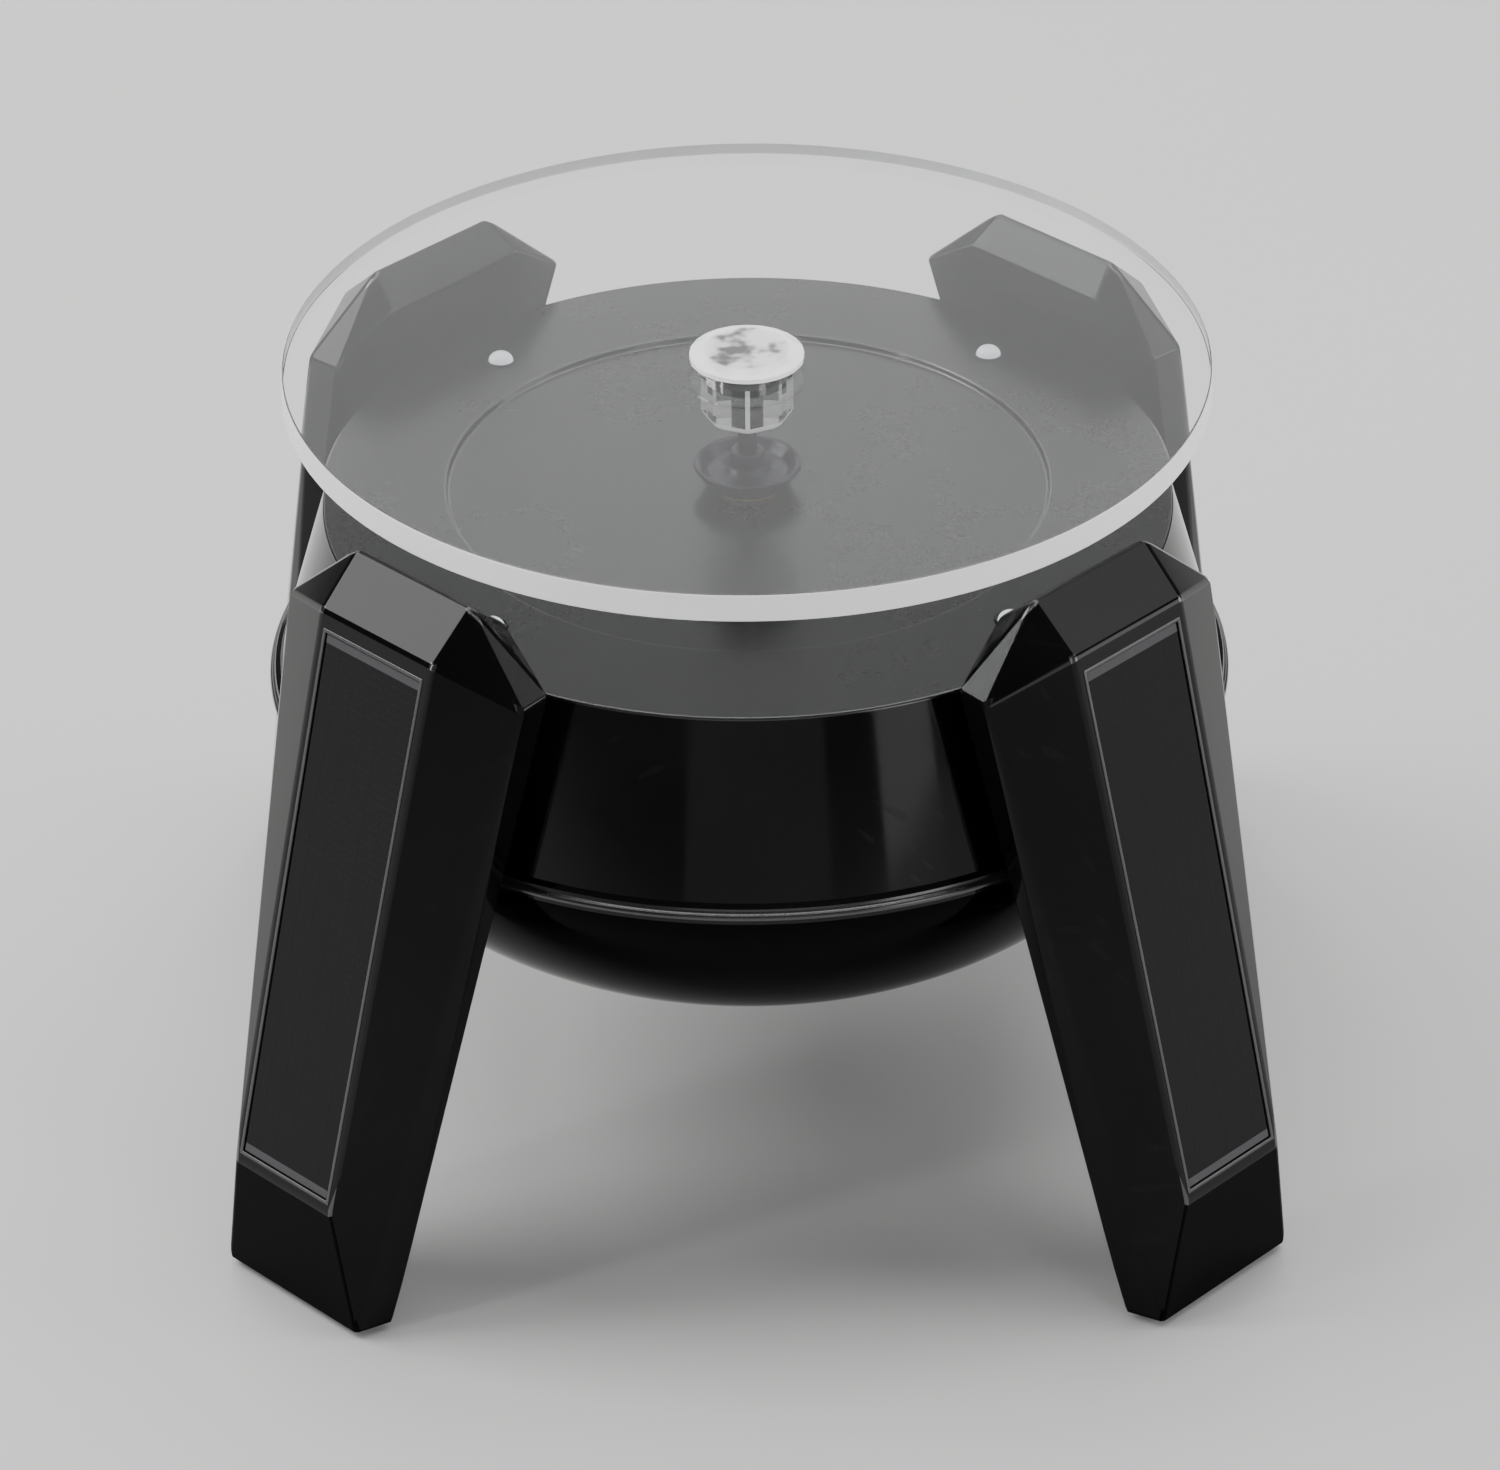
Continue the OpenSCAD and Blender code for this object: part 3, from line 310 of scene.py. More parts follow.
@dataclass(frozen=True)
class ClearAcrylic:
    """Clear cast acrylic: polished, with a breath of haze and very fine wipe marks."""

    name: str = "clear_acrylic"
    tint: Colour = rgb(0.975, 0.985, 0.985)
    haze: float = 0.0
    ior: float = 1.36

    def build(self) -> bpy.types.Material:
        """Builds the material.

        Returns:
            The material.
        """
        s = Shading(self.name)
        where = s.place()
        wipe = s.noise(where, 70, 5, 0.65).ramp(0.5, 0.8)
        s.dress(
            Base_Color=s.mix(wipe * 0.3, self.tint, rgb(0.93, 0.95, 0.95)),
            Roughness=wipe * 0.012 + (0.004 + self.haze),
            IOR=self.ior,
            Transmission_Weight=1.0,
        )
        return s.material


@dataclass(frozen=True)
class FrostedRim:
    """The disc's milled edge: white and finely lined, with a painted glow for the light that the disc carries
    to it.
    """

    name: str = "frosted_rim"
    white: Colour = grey(0.96)
    # painted glow: emission strength on a part that is no lamp
    glow: float = 0.26

    def build(self) -> bpy.types.Material:
        """Builds the material.

        Returns:
            The material.
        """
        s = Shading(self.name)
        where = s.place()
        _, _, height = s.axes(where)
        lines = s.noise(where, 300, 2)
        band = (height * 9000.0).wrap(0, 1)
        s.dress(
            Base_Color=s.mix(lines * 0.2, self.white, rgb(0.86, 0.88, 0.88)),
            Roughness=lines * 0.15 + 0.2,
            IOR=1.49,
            Transmission_Weight=0.1,
            Emission_Color=s.mix(lines * 0.5, grey(1.0), rgb(0.8, 0.82, 0.83)),
            Emission_Strength=self.glow,
        )
        s.bump(band * 0.3 + lines * 0.2, 0.00002, 0.3)
        return s.material


@dataclass(frozen=True)
class CutCrown:
    """The hub's cut crown: slightly milky plastic with crisp facets, darker inside an inner ring, with a
    painted glow outside it.
    """

    name: str = "cut_crown"
    white: Colour = rgb(0.97, 0.975, 0.98)
    ring_r: float = 5.4
    fade: float = 0.7

    def build(self) -> bpy.types.Material:
        """Builds the material.

        Returns:
            The material.
        """
        s = Shading(self.name)
        where = s.place()
        across, deep, _ = s.axes(where)
        reach = (across * across + deep * deep) ** 0.5
        inside = 1.0 - reach.ramp((self.ring_r - self.fade) * MM, self.ring_r * MM)
        swirl = s.noise(where, 240, 2).ramp(0.44, 0.56)
        shade = inside * (swirl * 0.8 + 0.15)
        s.dress(
            Base_Color=s.mix(shade, self.white, rgb(0.12, 0.12, 0.125)),
            Roughness=swirl * 0.05 + 0.04,
            IOR=1.52,
            Transmission_Weight=0.35,
            # painted glow outside the inner ring: emission on a part that is no lamp
            Emission_Color=s.mix(shade, grey(1.0), grey(0.02)),
            Emission_Strength=0.42,
        )
        return s.material


@dataclass(frozen=True)
class SolarGlass:
    """A dark cell under glass: vertical strips, thin collector lines and a faint blue cast."""

    name: str = "solar_glass"
    strips: int = 6

    def build(self) -> bpy.types.Material:
        """Builds the material.

        Returns:
            The material.
        """
        s = Shading(self.name)
        across, along, _ = s.axes(s.uv())
        strip = (across * float(self.strips)).wrap(0, 1)
        gap = (strip - 0.5).size() > 0.475
        finger = ((along * 64.0).wrap(0, 1) - 0.5).size() > 0.44
        bus = (along - 0.5).size() > 0.484
        cloud = s.noise(s.place(), 120, 3)
        cell = s.mix(cloud, rgb(0.003, 0.003, 0.0036), rgb(0.005, 0.005, 0.0066))
        lined = s.mix(finger * 0.35, cell, rgb(0.012, 0.012, 0.0135))
        parted = s.mix(gap * 0.9, lined, rgb(0.002, 0.002, 0.0022))
        s.dress(
            Base_Color=s.mix(bus * 0.8, parted, rgb(0.10, 0.10, 0.105)),
            Roughness=cloud * 0.05 + 0.14 + gap * 0.15,
            Specular_IOR_Level=0.03,
            Coat_Weight=1.0 - gap * 0.05,
            Coat_Roughness=0.05,
            Coat_IOR=1.22,
        )
        s.bump(cloud * 0.1 + gap * 0.4, 0.00003, 0.4)
        return s.material


@dataclass(frozen=True)
class Plain:
    """A simple part's finish: mottled colour, varying roughness and a fine surface bump."""

    name: str
    colour: Colour
    shade: Colour
    roughness: float
    metallic: float = 0.0
    grain: float = 400.0
    depth: float = 0.00002
    stretch: tuple[float, float, float] = (1, 1, 1)
    specular: float = 0.5

    def build(self) -> bpy.types.Material:
        """Builds the material.

        Returns:
            The material.
        """
        s = Shading(self.name)
        where = s.add("ShaderNodeMapping", {}, {"Vector": s.place(), "Scale": self.stretch})
        mottle = s.noise(where, self.grain * 0.2, 4)
        grain = s.noise(where, self.grain, 3)
        s.dress(
            Base_Color=s.mix(mottle.ramp(0.35, 0.7), self.colour, self.shade),
            Roughness=grain * 0.16 + (self.roughness - 0.05) + mottle * 0.04,
            Metallic=self.metallic,
            Specular_IOR_Level=self.specular,
        )
        s.bump(grain, self.depth, 0.5)
        return s.material


@dataclass(frozen=True)
class LampLens:
    """Clear epoxy of a small lamp, slightly milky towards its base."""

    name: str = "lamp_lens"

    def build(self) -> bpy.types.Material:
        """Builds the material.

        Returns:
            The material.
        """
        s = Shading(self.name)
        cloud = s.noise(s.place(), 1500, 2)
        s.dress(
            Base_Color=s.mix(cloud * 0.3, rgb(0.97, 0.98, 1.0), rgb(0.88, 0.9, 0.95)),
            Roughness=cloud * 0.05 + 0.02,
            IOR=1.5,
            Transmission_Weight=0.55,
            Emission_Color=rgb(0.9, 0.95, 1.0),
            Emission_Strength=0.35,
        )
        return s.material


@dataclass(frozen=True)
class BoardGreen:
    """Green solder mask over copper tracks."""

    name: str = "board_green"

    def build(self) -> bpy.types.Material:
        """Builds the material.

        Returns:
            The material.
        """
        s = Shading(self.name)
        where = s.place()
        across, along, _ = s.axes(where)
        tracks = ((across * 420.0).wrap(0, 1) - 0.5).size() > 0.36
        turns = ((along * 420.0).wrap(0, 1) - 0.5).size() > 0.36
        field_noise = s.noise(where, 90, 0) > 0.5
        copper = tracks * field_noise + turns * (1.0 - field_noise)
        s.dress(
            Base_Color=s.mix(copper, rgb(0.012, 0.085, 0.03), rgb(0.03, 0.17, 0.06)),
            Roughness=s.noise(where, 300) * 0.1 + 0.28,
        )
        s.bump(copper, 0.00003, 0.6)
        return s.material


@dataclass(frozen=True)
class BatteryWrap:
    """Foil sleeve of a dry cell: a dark body, a pale band and a bare steel button."""

    name: str = "battery_wrap"

    def build(self) -> bpy.types.Material:
        """Builds the material.

        Returns:
            The material.
        """
        s = Shading(self.name)
        where = s.place()
        along, _, _ = s.axes(where)
        band = along > 0.012
        button = along > 0.0258
        grain = s.noise(where, 500, 3)
        sleeve = s.mix(band, rgb(0.02, 0.06, 0.04), rgb(0.55, 0.43, 0.16))
        s.dress(
            Base_Color=s.mix(button, sleeve, grey(0.6)),
            Roughness=grain * 0.15 + 0.22,
            Metallic=button * 0.6 + 0.4,
        )
        s.bump(grain, 0.00001, 0.3)
        return s.material


PLAIN_FINISHES = (
    Plain("foot_rubber", grey(0.02), rgb(0.045, 0.045, 0.044), 0.72, 0, 900, 0.00008),
    Plain("steel", rgb(0.58, 0.58, 0.59), rgb(0.42, 0.42, 0.43), 0.28, 1, 600, 0.00001, (1, 1, 6)),
    Plain("coupling_plastic", rgb(0.012, 0.010, 0.019), rgb(0.024, 0.021, 0.034), 0.16, 0, 700,
        0.00001, specular=0.2),
    Plain("bronze", rgb(0.6, 0.38, 0.14), rgb(0.42, 0.25, 0.09), 0.32, 1, 500, 0.00001),
    Plain("gear_plastic", rgb(0.78, 0.76, 0.68), rgb(0.68, 0.66, 0.57), 0.42, 0, 350, 0.00001),
    Plain("motor_steel", rgb(0.5, 0.5, 0.51), rgb(0.38, 0.38, 0.4), 0.33, 1, 500, 0.00001),
    Plain("magnet", rgb(0.035, 0.035, 0.038), rgb(0.06, 0.06, 0.062), 0.6, 0.3, 900, 0.00004),
    Plain("winding", rgb(0.5, 0.18, 0.05), rgb(0.3, 0.1, 0.03), 0.3, 0.8, 900, 0.00008, (1, 1, 9)),
    Plain("component", rgb(0.018, 0.018, 0.02), rgb(0.05, 0.05, 0.055), 0.5, 0, 800, 0.00003),
    Plain("switch_grey", rgb(0.3, 0.3, 0.31), rgb(0.42, 0.42, 0.43), 0.45, 0, 500, 0.00002),
    Plain("lead_red", rgb(0.38, 0.012, 0.012), rgb(0.25, 0.01, 0.01), 0.45, 0, 500, 0.00001),
    Plain("lead_blue", rgb(0.012, 0.03, 0.36), rgb(0.01, 0.02, 0.24), 0.45, 0, 500, 0.00001),
    Plain("studio_floor", rgb(0.82, 0.815, 0.805), rgb(0.79, 0.785, 0.775), 0.65, 0, 9, 0.0001),
)
FINISHES = {plain.name: plain for plain in PLAIN_FINISHES} | {
    "case_black": PianoBlack(),
    # painted shade: a darker, less reflective copy of the case plastic for the bowl and the leg toes
    "shade_black": PianoBlack("shade_black", grey(0.001), grey(0.003), ior=1.1),
    # painted shade: a less reflective copy of the case plastic for the legs' side faces
    "side_black": PianoBlack("side_black", ior=1.22),
    # painted highlight: a brighter, more reflective copy of the case plastic for softened edges and cell
    # frames
    "edge_sheen": PianoBlack("edge_sheen", grey(0.012), grey(0.03), 0.16, 1.75),
    "satin_deck": SatinDeck(),
    "clear_acrylic": ClearAcrylic(),
    "hub_acrylic": ClearAcrylic("hub_acrylic", grey(0.4), 0.03, 1.49),
    "frosted_rim": FrostedRim(),
    "cut_crown": CutCrown(),
    "solar_cell": SolarGlass(),
    "lamp": LampLens(),
    "board_green": BoardGreen(),
    "battery_wrap": BatteryWrap(),
}


class Finishes:
    """Every material, by the record's slot name where there is one."""

    def __init__(self) -> None:
        """Builds each material once."""
        self.by_name = {name: finish.build() for name, finish in FINISHES.items()}

    def __getitem__(self, name: str) -> bpy.types.Material:
        """The material of that name."""
        return self.by_name[name]


# ---------------------------------------------------------------- meshes


def smoothed(mesh: bmesh.types.BMesh, angle: float) -> None:
    """Shades a mesh smooth, except across its open and sharp edges.

    Args:
        mesh: the mesh.
        angle: the turn between two faces, in degrees, that stays sharp.
    """
    for face in mesh.faces:
        face.smooth = True
    for edge in mesh.edges:
        edge.smooth = len(edge.link_faces) == 2 and edge.calc_face_angle(math.pi) < math.radians(angle)


class Solid:
    """One bmesh in millimetres, shaped by bmesh operators, that becomes a finished piece."""

    def __init__(self) -> None:
        """Starts empty."""
        self.bm = bmesh.new()

    def lathe(self, outline: Sequence[Point], steps: int = 192, centre: Point = (0.0, 0.0)) -> "Solid":
        """Spins a closed outline of (radius, height) points round an upright axis.

        Args:
            outline: the points in order; the first and last ones may lie on the axis.
            steps: faces round the turn.
            centre: where the axis stands.

        Returns:
            This solid.
        """
        closed = min(p[0] for p in outline) > 1e-6
        verts = [self.bm.verts.new((centre[0] + r, centre[1], z)) for r, z in outline]
        ends = list(zip(verts, verts[1:] + verts[:1])) if closed else list(zip(verts, verts[1:]))
        edges = [self.bm.edges.new(pair) for pair in ends]
        bmesh.ops.spin(
            self.bm, geom=verts + edges, cent=(centre[0], centre[1], 0), axis=(0, 0, 1),
            angle=math.tau, steps=steps, use_merge=True,
        )
        bmesh.ops.remove_doubles(self.bm, verts=self.bm.verts[:], dist=1e-5)
        bmesh.ops.recalc_face_normals(self.bm, faces=self.bm.faces[:])
        return self

    def block(self, low: Sequence[float], high: Sequence[float], turn: Matrix | None = None) -> "Solid":
        """Adds a box between two corners, turned by a matrix where one is given.

        Args:
            low: the corner with the smallest X, Y and Z.
            high: the opposite corner.
            turn: a matrix that the box is put through.

        Returns:
            This solid.
        """
        size = [b - a for a, b in zip(low, high)]
        middle = [(a + b) / 2 for a, b in zip(low, high)]
        place = Matrix.Translation(middle) @ Matrix.Diagonal((*size, 1))
        bmesh.ops.create_cube(self.bm, size=1, matrix=(turn or Matrix()) @ place)
        return self

    def rod(
        self, radius: float, low: float, high: float, place: Matrix | None = None,
        steps: int = 48, low_radius: float | None = None,
    ) -> "Solid":
        """Adds a rod along its own Z from low to high, or a cone where low_radius is given.

        Args:
            radius: the radius at the high end.
            low: where it starts.
            high: where it ends.
            place: a matrix that the rod is put through.
            steps: faces round it.
            low_radius: the radius at the low end, where it differs.

        Returns:
            This solid.
        """
        matrix = (place or Matrix()) @ Matrix.Translation((0, 0, (low + high) / 2))
        bmesh.ops.create_cone(
            self.bm, cap_ends=True, segments=steps, radius1=radius if low_radius is None else low_radius,
            radius2=radius, depth=high - low, matrix=matrix,
        )
        return self

    def hull(self, points: Iterable[Sequence[float]]) -> "Solid":
        """Adds the tight skin round some points, with flat faces kept whole.

        Args:
            points: the corners to enclose.

        Returns:
            This solid.
        """
        verts = [self.bm.verts.new(p) for p in points]
        made = bmesh.ops.convex_hull(self.bm, input=verts)
        spare = [v for v in made["geom_interior"] if isinstance(v, bmesh.types.BMVert)]
        bmesh.ops.delete(self.bm, geom=spare, context="VERTS")
        bmesh.ops.dissolve_limit(
            self.bm, angle_limit=math.radians(0.4), verts=self.bm.verts[:], edges=self.bm.edges[:],
        )
        bmesh.ops.recalc_face_normals(self.bm, faces=self.bm.faces[:])
        return self

    def slab(self, outline: Sequence[Point], low: float, high: float, place: Matrix | None = None) -> "Solid":
        """Adds a flat outline raised from low to high, then put in place.

        Args:
            outline: the points in order.
            low: the height of the underside.
            high: the height of the top.
            place: a matrix that the slab is put through.

        Returns:
            This solid.
        """
        verts = [self.bm.verts.new((x, y, low)) for x, y in outline]
        base = self.bm.faces.new(verts)
        raised = bmesh.ops.extrude_face_region(self.bm, geom=[base])["geom"]
        top = [v for v in raised if isinstance(v, bmesh.types.BMVert)]
        bmesh.ops.translate(self.bm, vec=(0, 0, high - low), verts=top)
        bmesh.ops.transform(self.bm, matrix=place or Matrix(), verts=verts + top)
        bmesh.ops.recalc_face_normals(self.bm, faces=self.bm.faces[:])
        return self

    def copy_of(self, node: str) -> "Solid":
        """Adds a merged copy of a CAD node's mesh, with its flat faces kept whole.

        Args:
            node: the name of the CAD node.

        Returns:
            This solid.
        """
        self.bm.from_mesh(frame["nodes"][node].data)
        bmesh.ops.scale(self.bm, vec=(1 / MM,) * 3, verts=self.bm.verts[:])
        bmesh.ops.remove_doubles(self.bm, verts=self.bm.verts[:], dist=1e-3)
        bmesh.ops.dissolve_degenerate(self.bm, edges=self.bm.edges[:], dist=1e-3)
        bmesh.ops.dissolve_limit(
            self.bm, angle_limit=math.radians(0.5), verts=self.bm.verts[:], edges=self.bm.edges[:],
        )
        return self

    def round(self, width: float, angle: float = 25.0, segments: int = 3) -> "Solid":
        """Bevels each edge sharper than an angle.

        Args:
            width: the bevel's width.
            angle: the least turn between the two faces, in degrees.
            segments: faces across the bevel.

        Returns:
            This solid.
        """
        limit = math.radians(angle)
        edges = [e for e in self.bm.edges if len(e.link_faces) == 2 and e.calc_face_angle(0) > limit]
        bmesh.ops.bevel(
            self.bm, geom=edges, offset=width, offset_type="OFFSET", affect="EDGES", segments=segments,
            profile=0.5, material=-1, clamp_overlap=True, harden_normals=False,
        )
        return self

    def turned(self, angle: float) -> "Solid":
        """Turns everything round the Z axis, in degrees.

        Args:
            angle: the turn.

        Returns:
            This solid.
        """
        bmesh.ops.rotate(
            self.bm, cent=(0, 0, 0), verts=self.bm.verts[:],
            matrix=Matrix.Rotation(math.radians(angle), 3, "Z"),
        )
        return self

    def piece(self, name: str, smooth_angle: float = 35.0) -> bpy.types.Object:
        """Makes the finished object in metres, smooth except across sharp edges.

        Args:
            name: the name of the piece.
            smooth_angle: the turn between two faces, in degrees, that stays sharp.

        Returns:
            The object, in the scene.
        """
        bmesh.ops.scale(self.bm, vec=(MM, MM, MM), verts=self.bm.verts[:])
        smoothed(self.bm, smooth_angle)
        mesh = bpy.data.meshes.new(name)
        self.bm.to_mesh(mesh)
        self.bm.free()
        made = bpy.data.objects.new(name, mesh)
        bpy.context.scene.collection.objects.link(made)
        return made


def carved(name: str, blank: Solid, cuts: Sequence[Solid], smooth_angle: float = 30.0) -> bpy.types.Object:
    """Cuts solids out of a blank and returns the finished object.

    Args:
        name: the name of the piece.
        blank: what is cut.
        cuts: what is taken away, one after another.
        smooth_angle: the turn between two faces, in degrees, that stays sharp.

    Returns:
        The object, in the scene.
    """
    made = blank.piece(name, smooth_angle)
    for number, cut in enumerate(cuts):
        tool = cut.piece(f"{name}_cut_{number}")
        modifier = made.modifiers.new("cut", "BOOLEAN")
        modifier.operation = "DIFFERENCE"
        modifier.solver = "EXACT"
        modifier.object = tool
        graph = bpy.context.evaluated_depsgraph_get()
        cut_mesh = bpy.data.meshes.new_from_object(made.evaluated_get(graph))
        made.modifiers.clear()
        made.data = cut_mesh
        bpy.data.objects.remove(tool)
    again = bmesh.new()
    again.from_mesh(made.data)
    smoothed(again, smooth_angle)
    again.to_mesh(made.data)
    again.free()
    return made


def arc(centre: Point, radii: Point, first: float, last: float, steps: int) -> list[Point]:
    """Points of an arc or a stretch of an ellipse, with its angles in degrees."""
    angles = [math.radians(first + (last - first) * k / steps) for k in range(steps + 1)]
    return [(centre[0] + radii[0] * math.cos(a), centre[1] + radii[1] * math.sin(a)) for a in angles]


def about(angle: float) -> Matrix:
    """A turn round the upright axis, in degrees."""
    return Matrix.Rotation(math.radians(angle), 4, "Z")


def round_axis(reach: float, angle: float) -> Point:
    """The spot at a distance from the upright axis, at an angle in degrees."""
    return (reach * math.cos(math.radians(angle)), reach * math.sin(math.radians(angle)))


def along(axis: Vector, place: Sequence[float]) -> Matrix:
    """A matrix that stands a rod's Z along an axis, from a place."""
    return Matrix.Translation(place) @ axis.to_track_quat("Z", "Y").to_matrix().to_4x4()


# ---------------------------------------------------------------- sub-assemblies


@dataclass
class Assembly:
    """What every sub-assembly does with a finished piece."""

    finishes: Finishes

    def keep(
        self, made: bpy.types.Object, body: str, finish: str, stands_for: Sequence[str] = (), slot: str = "",
    ) -> bpy.types.Object:
        """Dresses a new piece and ties it to its body.

        Args:
            made: the piece.
            body: the CAD body that it moves with.
            finish: its material.
            stands_for: the CAD nodes that it replaces.
            slot: the record's slot, where it isn't the finish's name; not used.

        Returns:
            The piece.
        """
        made.data.materials.clear()
        made.data.materials.append(self.finishes[finish])
        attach(made, body)
        crisp = made.modifiers.new("weighted_normals", "WEIGHTED_NORMAL")
        crisp.keep_sharp = True
        crisp.weight = 100
        if stands_for:
            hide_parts(*stands_for)
        log.info("%s on %s: %d faces", made.name, body, len(made.data.polygons))
        return made

    def edged(self, made: bpy.types.Object, width: float = 0.2) -> None:
        """Paints a highlight on a piece's softened edges with a brighter, more reflective copy of the case
        plastic.

        Args:
            made: the piece.
            width: faces narrower than this, in millimetres, count as an edge.
        """
        index = len(made.data.materials)
        made.data.materials.append(self.finishes["edge_sheen"])
        for face in made.data.polygons:
            corners = [made.data.vertices[k].co for k in face.vertices]
            round_it = sum((a - b).length for a, b in zip(corners, corners[1:] + corners[:1]))
            if face.area < width / 2 * MM * round_it and face.material_index == 0:
                face.material_index = index

    def refined(
        self, node: str, body: str, finish: str, edge: Edge = Edge.crisp, angle: float = 40.0,
    ) -> bpy.types.Object:
        """Replaces a CAD node with its own shape and softened edges."""
        solid = Solid().copy_of(node).round(edge.value, angle, 2)
        return self.keep(solid.piece(f"{node}_finished"), body, finish, [node])


@dataclass
class Sizes:
    """The driving sizes shared by the sub-assemblies, in millimetres."""

    deck_z: float = 78.0
    deck_r: float = 51.0
    lean: float = 15.3
    leg_gap: float = 1.4
    wall: float = 2.0
    lip_z: float = 55.5
    lip_t: float = 1.0
    base_z: float = 29.5
    base_r: float = 34.0

    @property
    def slope(self) -> float:
        """How far the case spreads for each millimetre down."""
        return math.tan(math.radians(self.lean))

    def cone_r(self, z: float) -> float:
        """The case's radius at a height."""
        return self.deck_r + (self.deck_z - z) * self.slope

    def back_r(self, z: float) -> float:
        """How far from the axis a leg's back lies at a height."""
        return self.cone_r(z) + self.leg_gap

    def down(self, z: float) -> float:
        """Distance down the lean from the deck's height."""
        return (self.deck_z - z) / math.cos(math.radians(self.lean))

    def on_leg(self, depth: float) -> Matrix:
        """The leaning plane of a leg: X down it, Y across it and Z outwards."""
        return Matrix.Translation((self.back_r(self.deck_z) + depth, 0, self.deck_z)) @ Matrix.Rotation(
            math.radians(90 - self.lean), 4, "Y"
        )


@dataclass
class Housing(Assembly):
    """The black drum: the conical case with its deck, the bowl under it and what shows on them."""

    sizes: Sizes = field(default_factory=Sizes)
    recess_r: float = 36.0
    recess_d: float = 0.7
    pad_w: float = 12.0
    pad_d: float = 3.2
    screw_at: float = 42.0
    screw_angles: tuple[float, ...] = (20, 160, 200, 340)
    screw_well_r: float = 2.6
    lamp_at: float = 42.5
    lamp_r: float = 1.5
    slip: float = 0.05
    rib: float = 1.4
    notch_r: float = 5.0
    well_depth: float = 16.0
    tube_low: float = 34.2
    pilot_r: float = 1.3
    hinge: Point = (-29.6, 1.5)
    ear_r: float = 1.6
    ear_y: float = 7.2
    bowl_lean: float = 1.25
    well: tuple[float, float, float] = (55.0, 15.4, 9.5)
    well_top: float = 47.2
    switch_slot: tuple[float, float, float] = (6.0, 2.6, -26.0)

    def build(self) -> None:
        """Builds and dresses every piece."""
        self.case()
        self.bowl()
        self.lamps()
        self.coupling()
        self.underside()

    def case(self) -> None:
        """The conical case: softened deck edge, shallow round recess, bead of a lip and leg seats."""
        s = self.sizes
        under = s.deck_z - s.wall
        low = s.lip_z - s.lip_t
        floor = s.deck_z - self.recess_d
        soft = 0.45
        outline = [(0.0, floor), (self.recess_r - 0.4, floor)]
        outline += arc((self.recess_r - 0.4, floor + 0.3), (0.3, 0.3), -90, -20, 3)
        outline += arc((self.recess_r + 0.3, s.deck_z - 0.3), (0.3, 0.3), 160, 90, 3)
        outline += arc((s.deck_r - soft - 0.1, s.deck_z - soft), (soft, soft), 90, 15, 5)
        outline += [(s.cone_r(s.lip_z + 1.3), s.lip_z + 1.3)]
        outline += arc((s.cone_r(s.lip_z) + 0.75, s.lip_z + 1.1), (0.55, 0.75), 200, 265, 4)
        outline += arc((s.cone_r(s.lip_z) + 0.55, s.lip_z - 0.1), (0.4, 0.45), 80, -20, 6)
        outline += [(s.cone_r(s.lip_z) + 0.85, low + 0.2), (s.cone_r(s.lip_z) + 0.6, low)]
        outline += [(s.cone_r(low) - s.wall, low), (s.cone_r(under) - s.wall, under), (0.0, under)]
        drum = Solid().lathe(outline, 256)
        cuts = Solid()
        for leg in Leg:
            spot = about(leg.value) @ Matrix.Translation((self.lamp_at, 0, 0))
            cuts.rod(self.lamp_r + self.slip, under - 1, s.deck_z + 1, spot)
        made = carved("drum_case", drum, [cuts])
        self.keep(made, "root", "case_black", ["upper_housing"])
        made.data.materials.append(self.finishes["satin_deck"])
        for face in made.data.polygons:
            if face.center.z > (floor - 0.1) * MM and face.normal.z > 0.98:
                face.material_index = 1
        # painted highlight on the case's softened edges
        self.edged(made)
        seats = Solid()
        for leg in Leg:
            seats.block(
                (s.down(s.deck_z - 2), -self.pad_w, -self.pad_d), (s.down(s.lip_z + 2.5), self.pad_w, 0),
                about(leg.value) @ s.on_leg(0),
            )
        seats.round(Edge.moulded.value)
        self.keep(seats.piece("leg_seats"), "root", "case_black")

    def bowl(self) -> None:
        """The bowl under the lip, open at the battery well, the screw wells and the switch slot."""
        s = self.sizes
        high = s.lip_z - s.lip_t
        rim = s.cone_r(high) - 0.1
        outside = self.hollow((s.base_r, high), rim - s.base_r, high - s.base_z)
        inner_rim = rim - 2 * s.wall + 0.6
        inside = self.hollow((s.base_r - 1, high), inner_rim - s.base_r + 1, high - s.base_z - s.wall)[::-1]
        outline = outside + [(0.0, s.base_z), (0.0, s.base_z + s.wall)] + inside
        shell = Solid().lathe(self.ring(outline), 256)
        long, wide, middle = self.well
        slot_l, slot_w, slot_y = self.switch_slot
        opening = Solid().block(
            (-long / 2, middle - wide / 2, s.base_z - 2), (long / 2, middle + wide / 2, self.well_top),
        )
        door_end = Matrix.Translation((long / 2, middle, 0))
        notch = Solid().rod(self.notch_r, s.base_z - 1, s.base_z + 1, door_end)
        slot = Solid().block(
            (-slot_l / 2, slot_y - slot_w / 2, s.base_z - 1), (slot_l / 2, slot_y + slot_w / 2, s.base_z + 4),
        )
        wells = Solid()
        for angle in self.screw_angles:
            spot = about(angle) @ Matrix.Translation((self.screw_at, 0, 0))
            wells.rod(self.screw_well_r, s.base_z - 2, s.base_z + self.well_depth, spot)
        made = carved("drum_bowl", shell, [opening, notch, slot, wells])
        # the bowl is dressed in the painted shade copy of the case plastic
        self.keep(made, "root", "shade_black", ["lower_housing"], slot="case_black")
        self.keep(self.well_walls().piece("battery_well"), "root", "case_black")
        self.keep(self.screw_tubes().piece("screw_tubes"), "root", "case_black")
        self.keep(self.hinge_ears().piece("hinge_ears"), "root", "case_black")

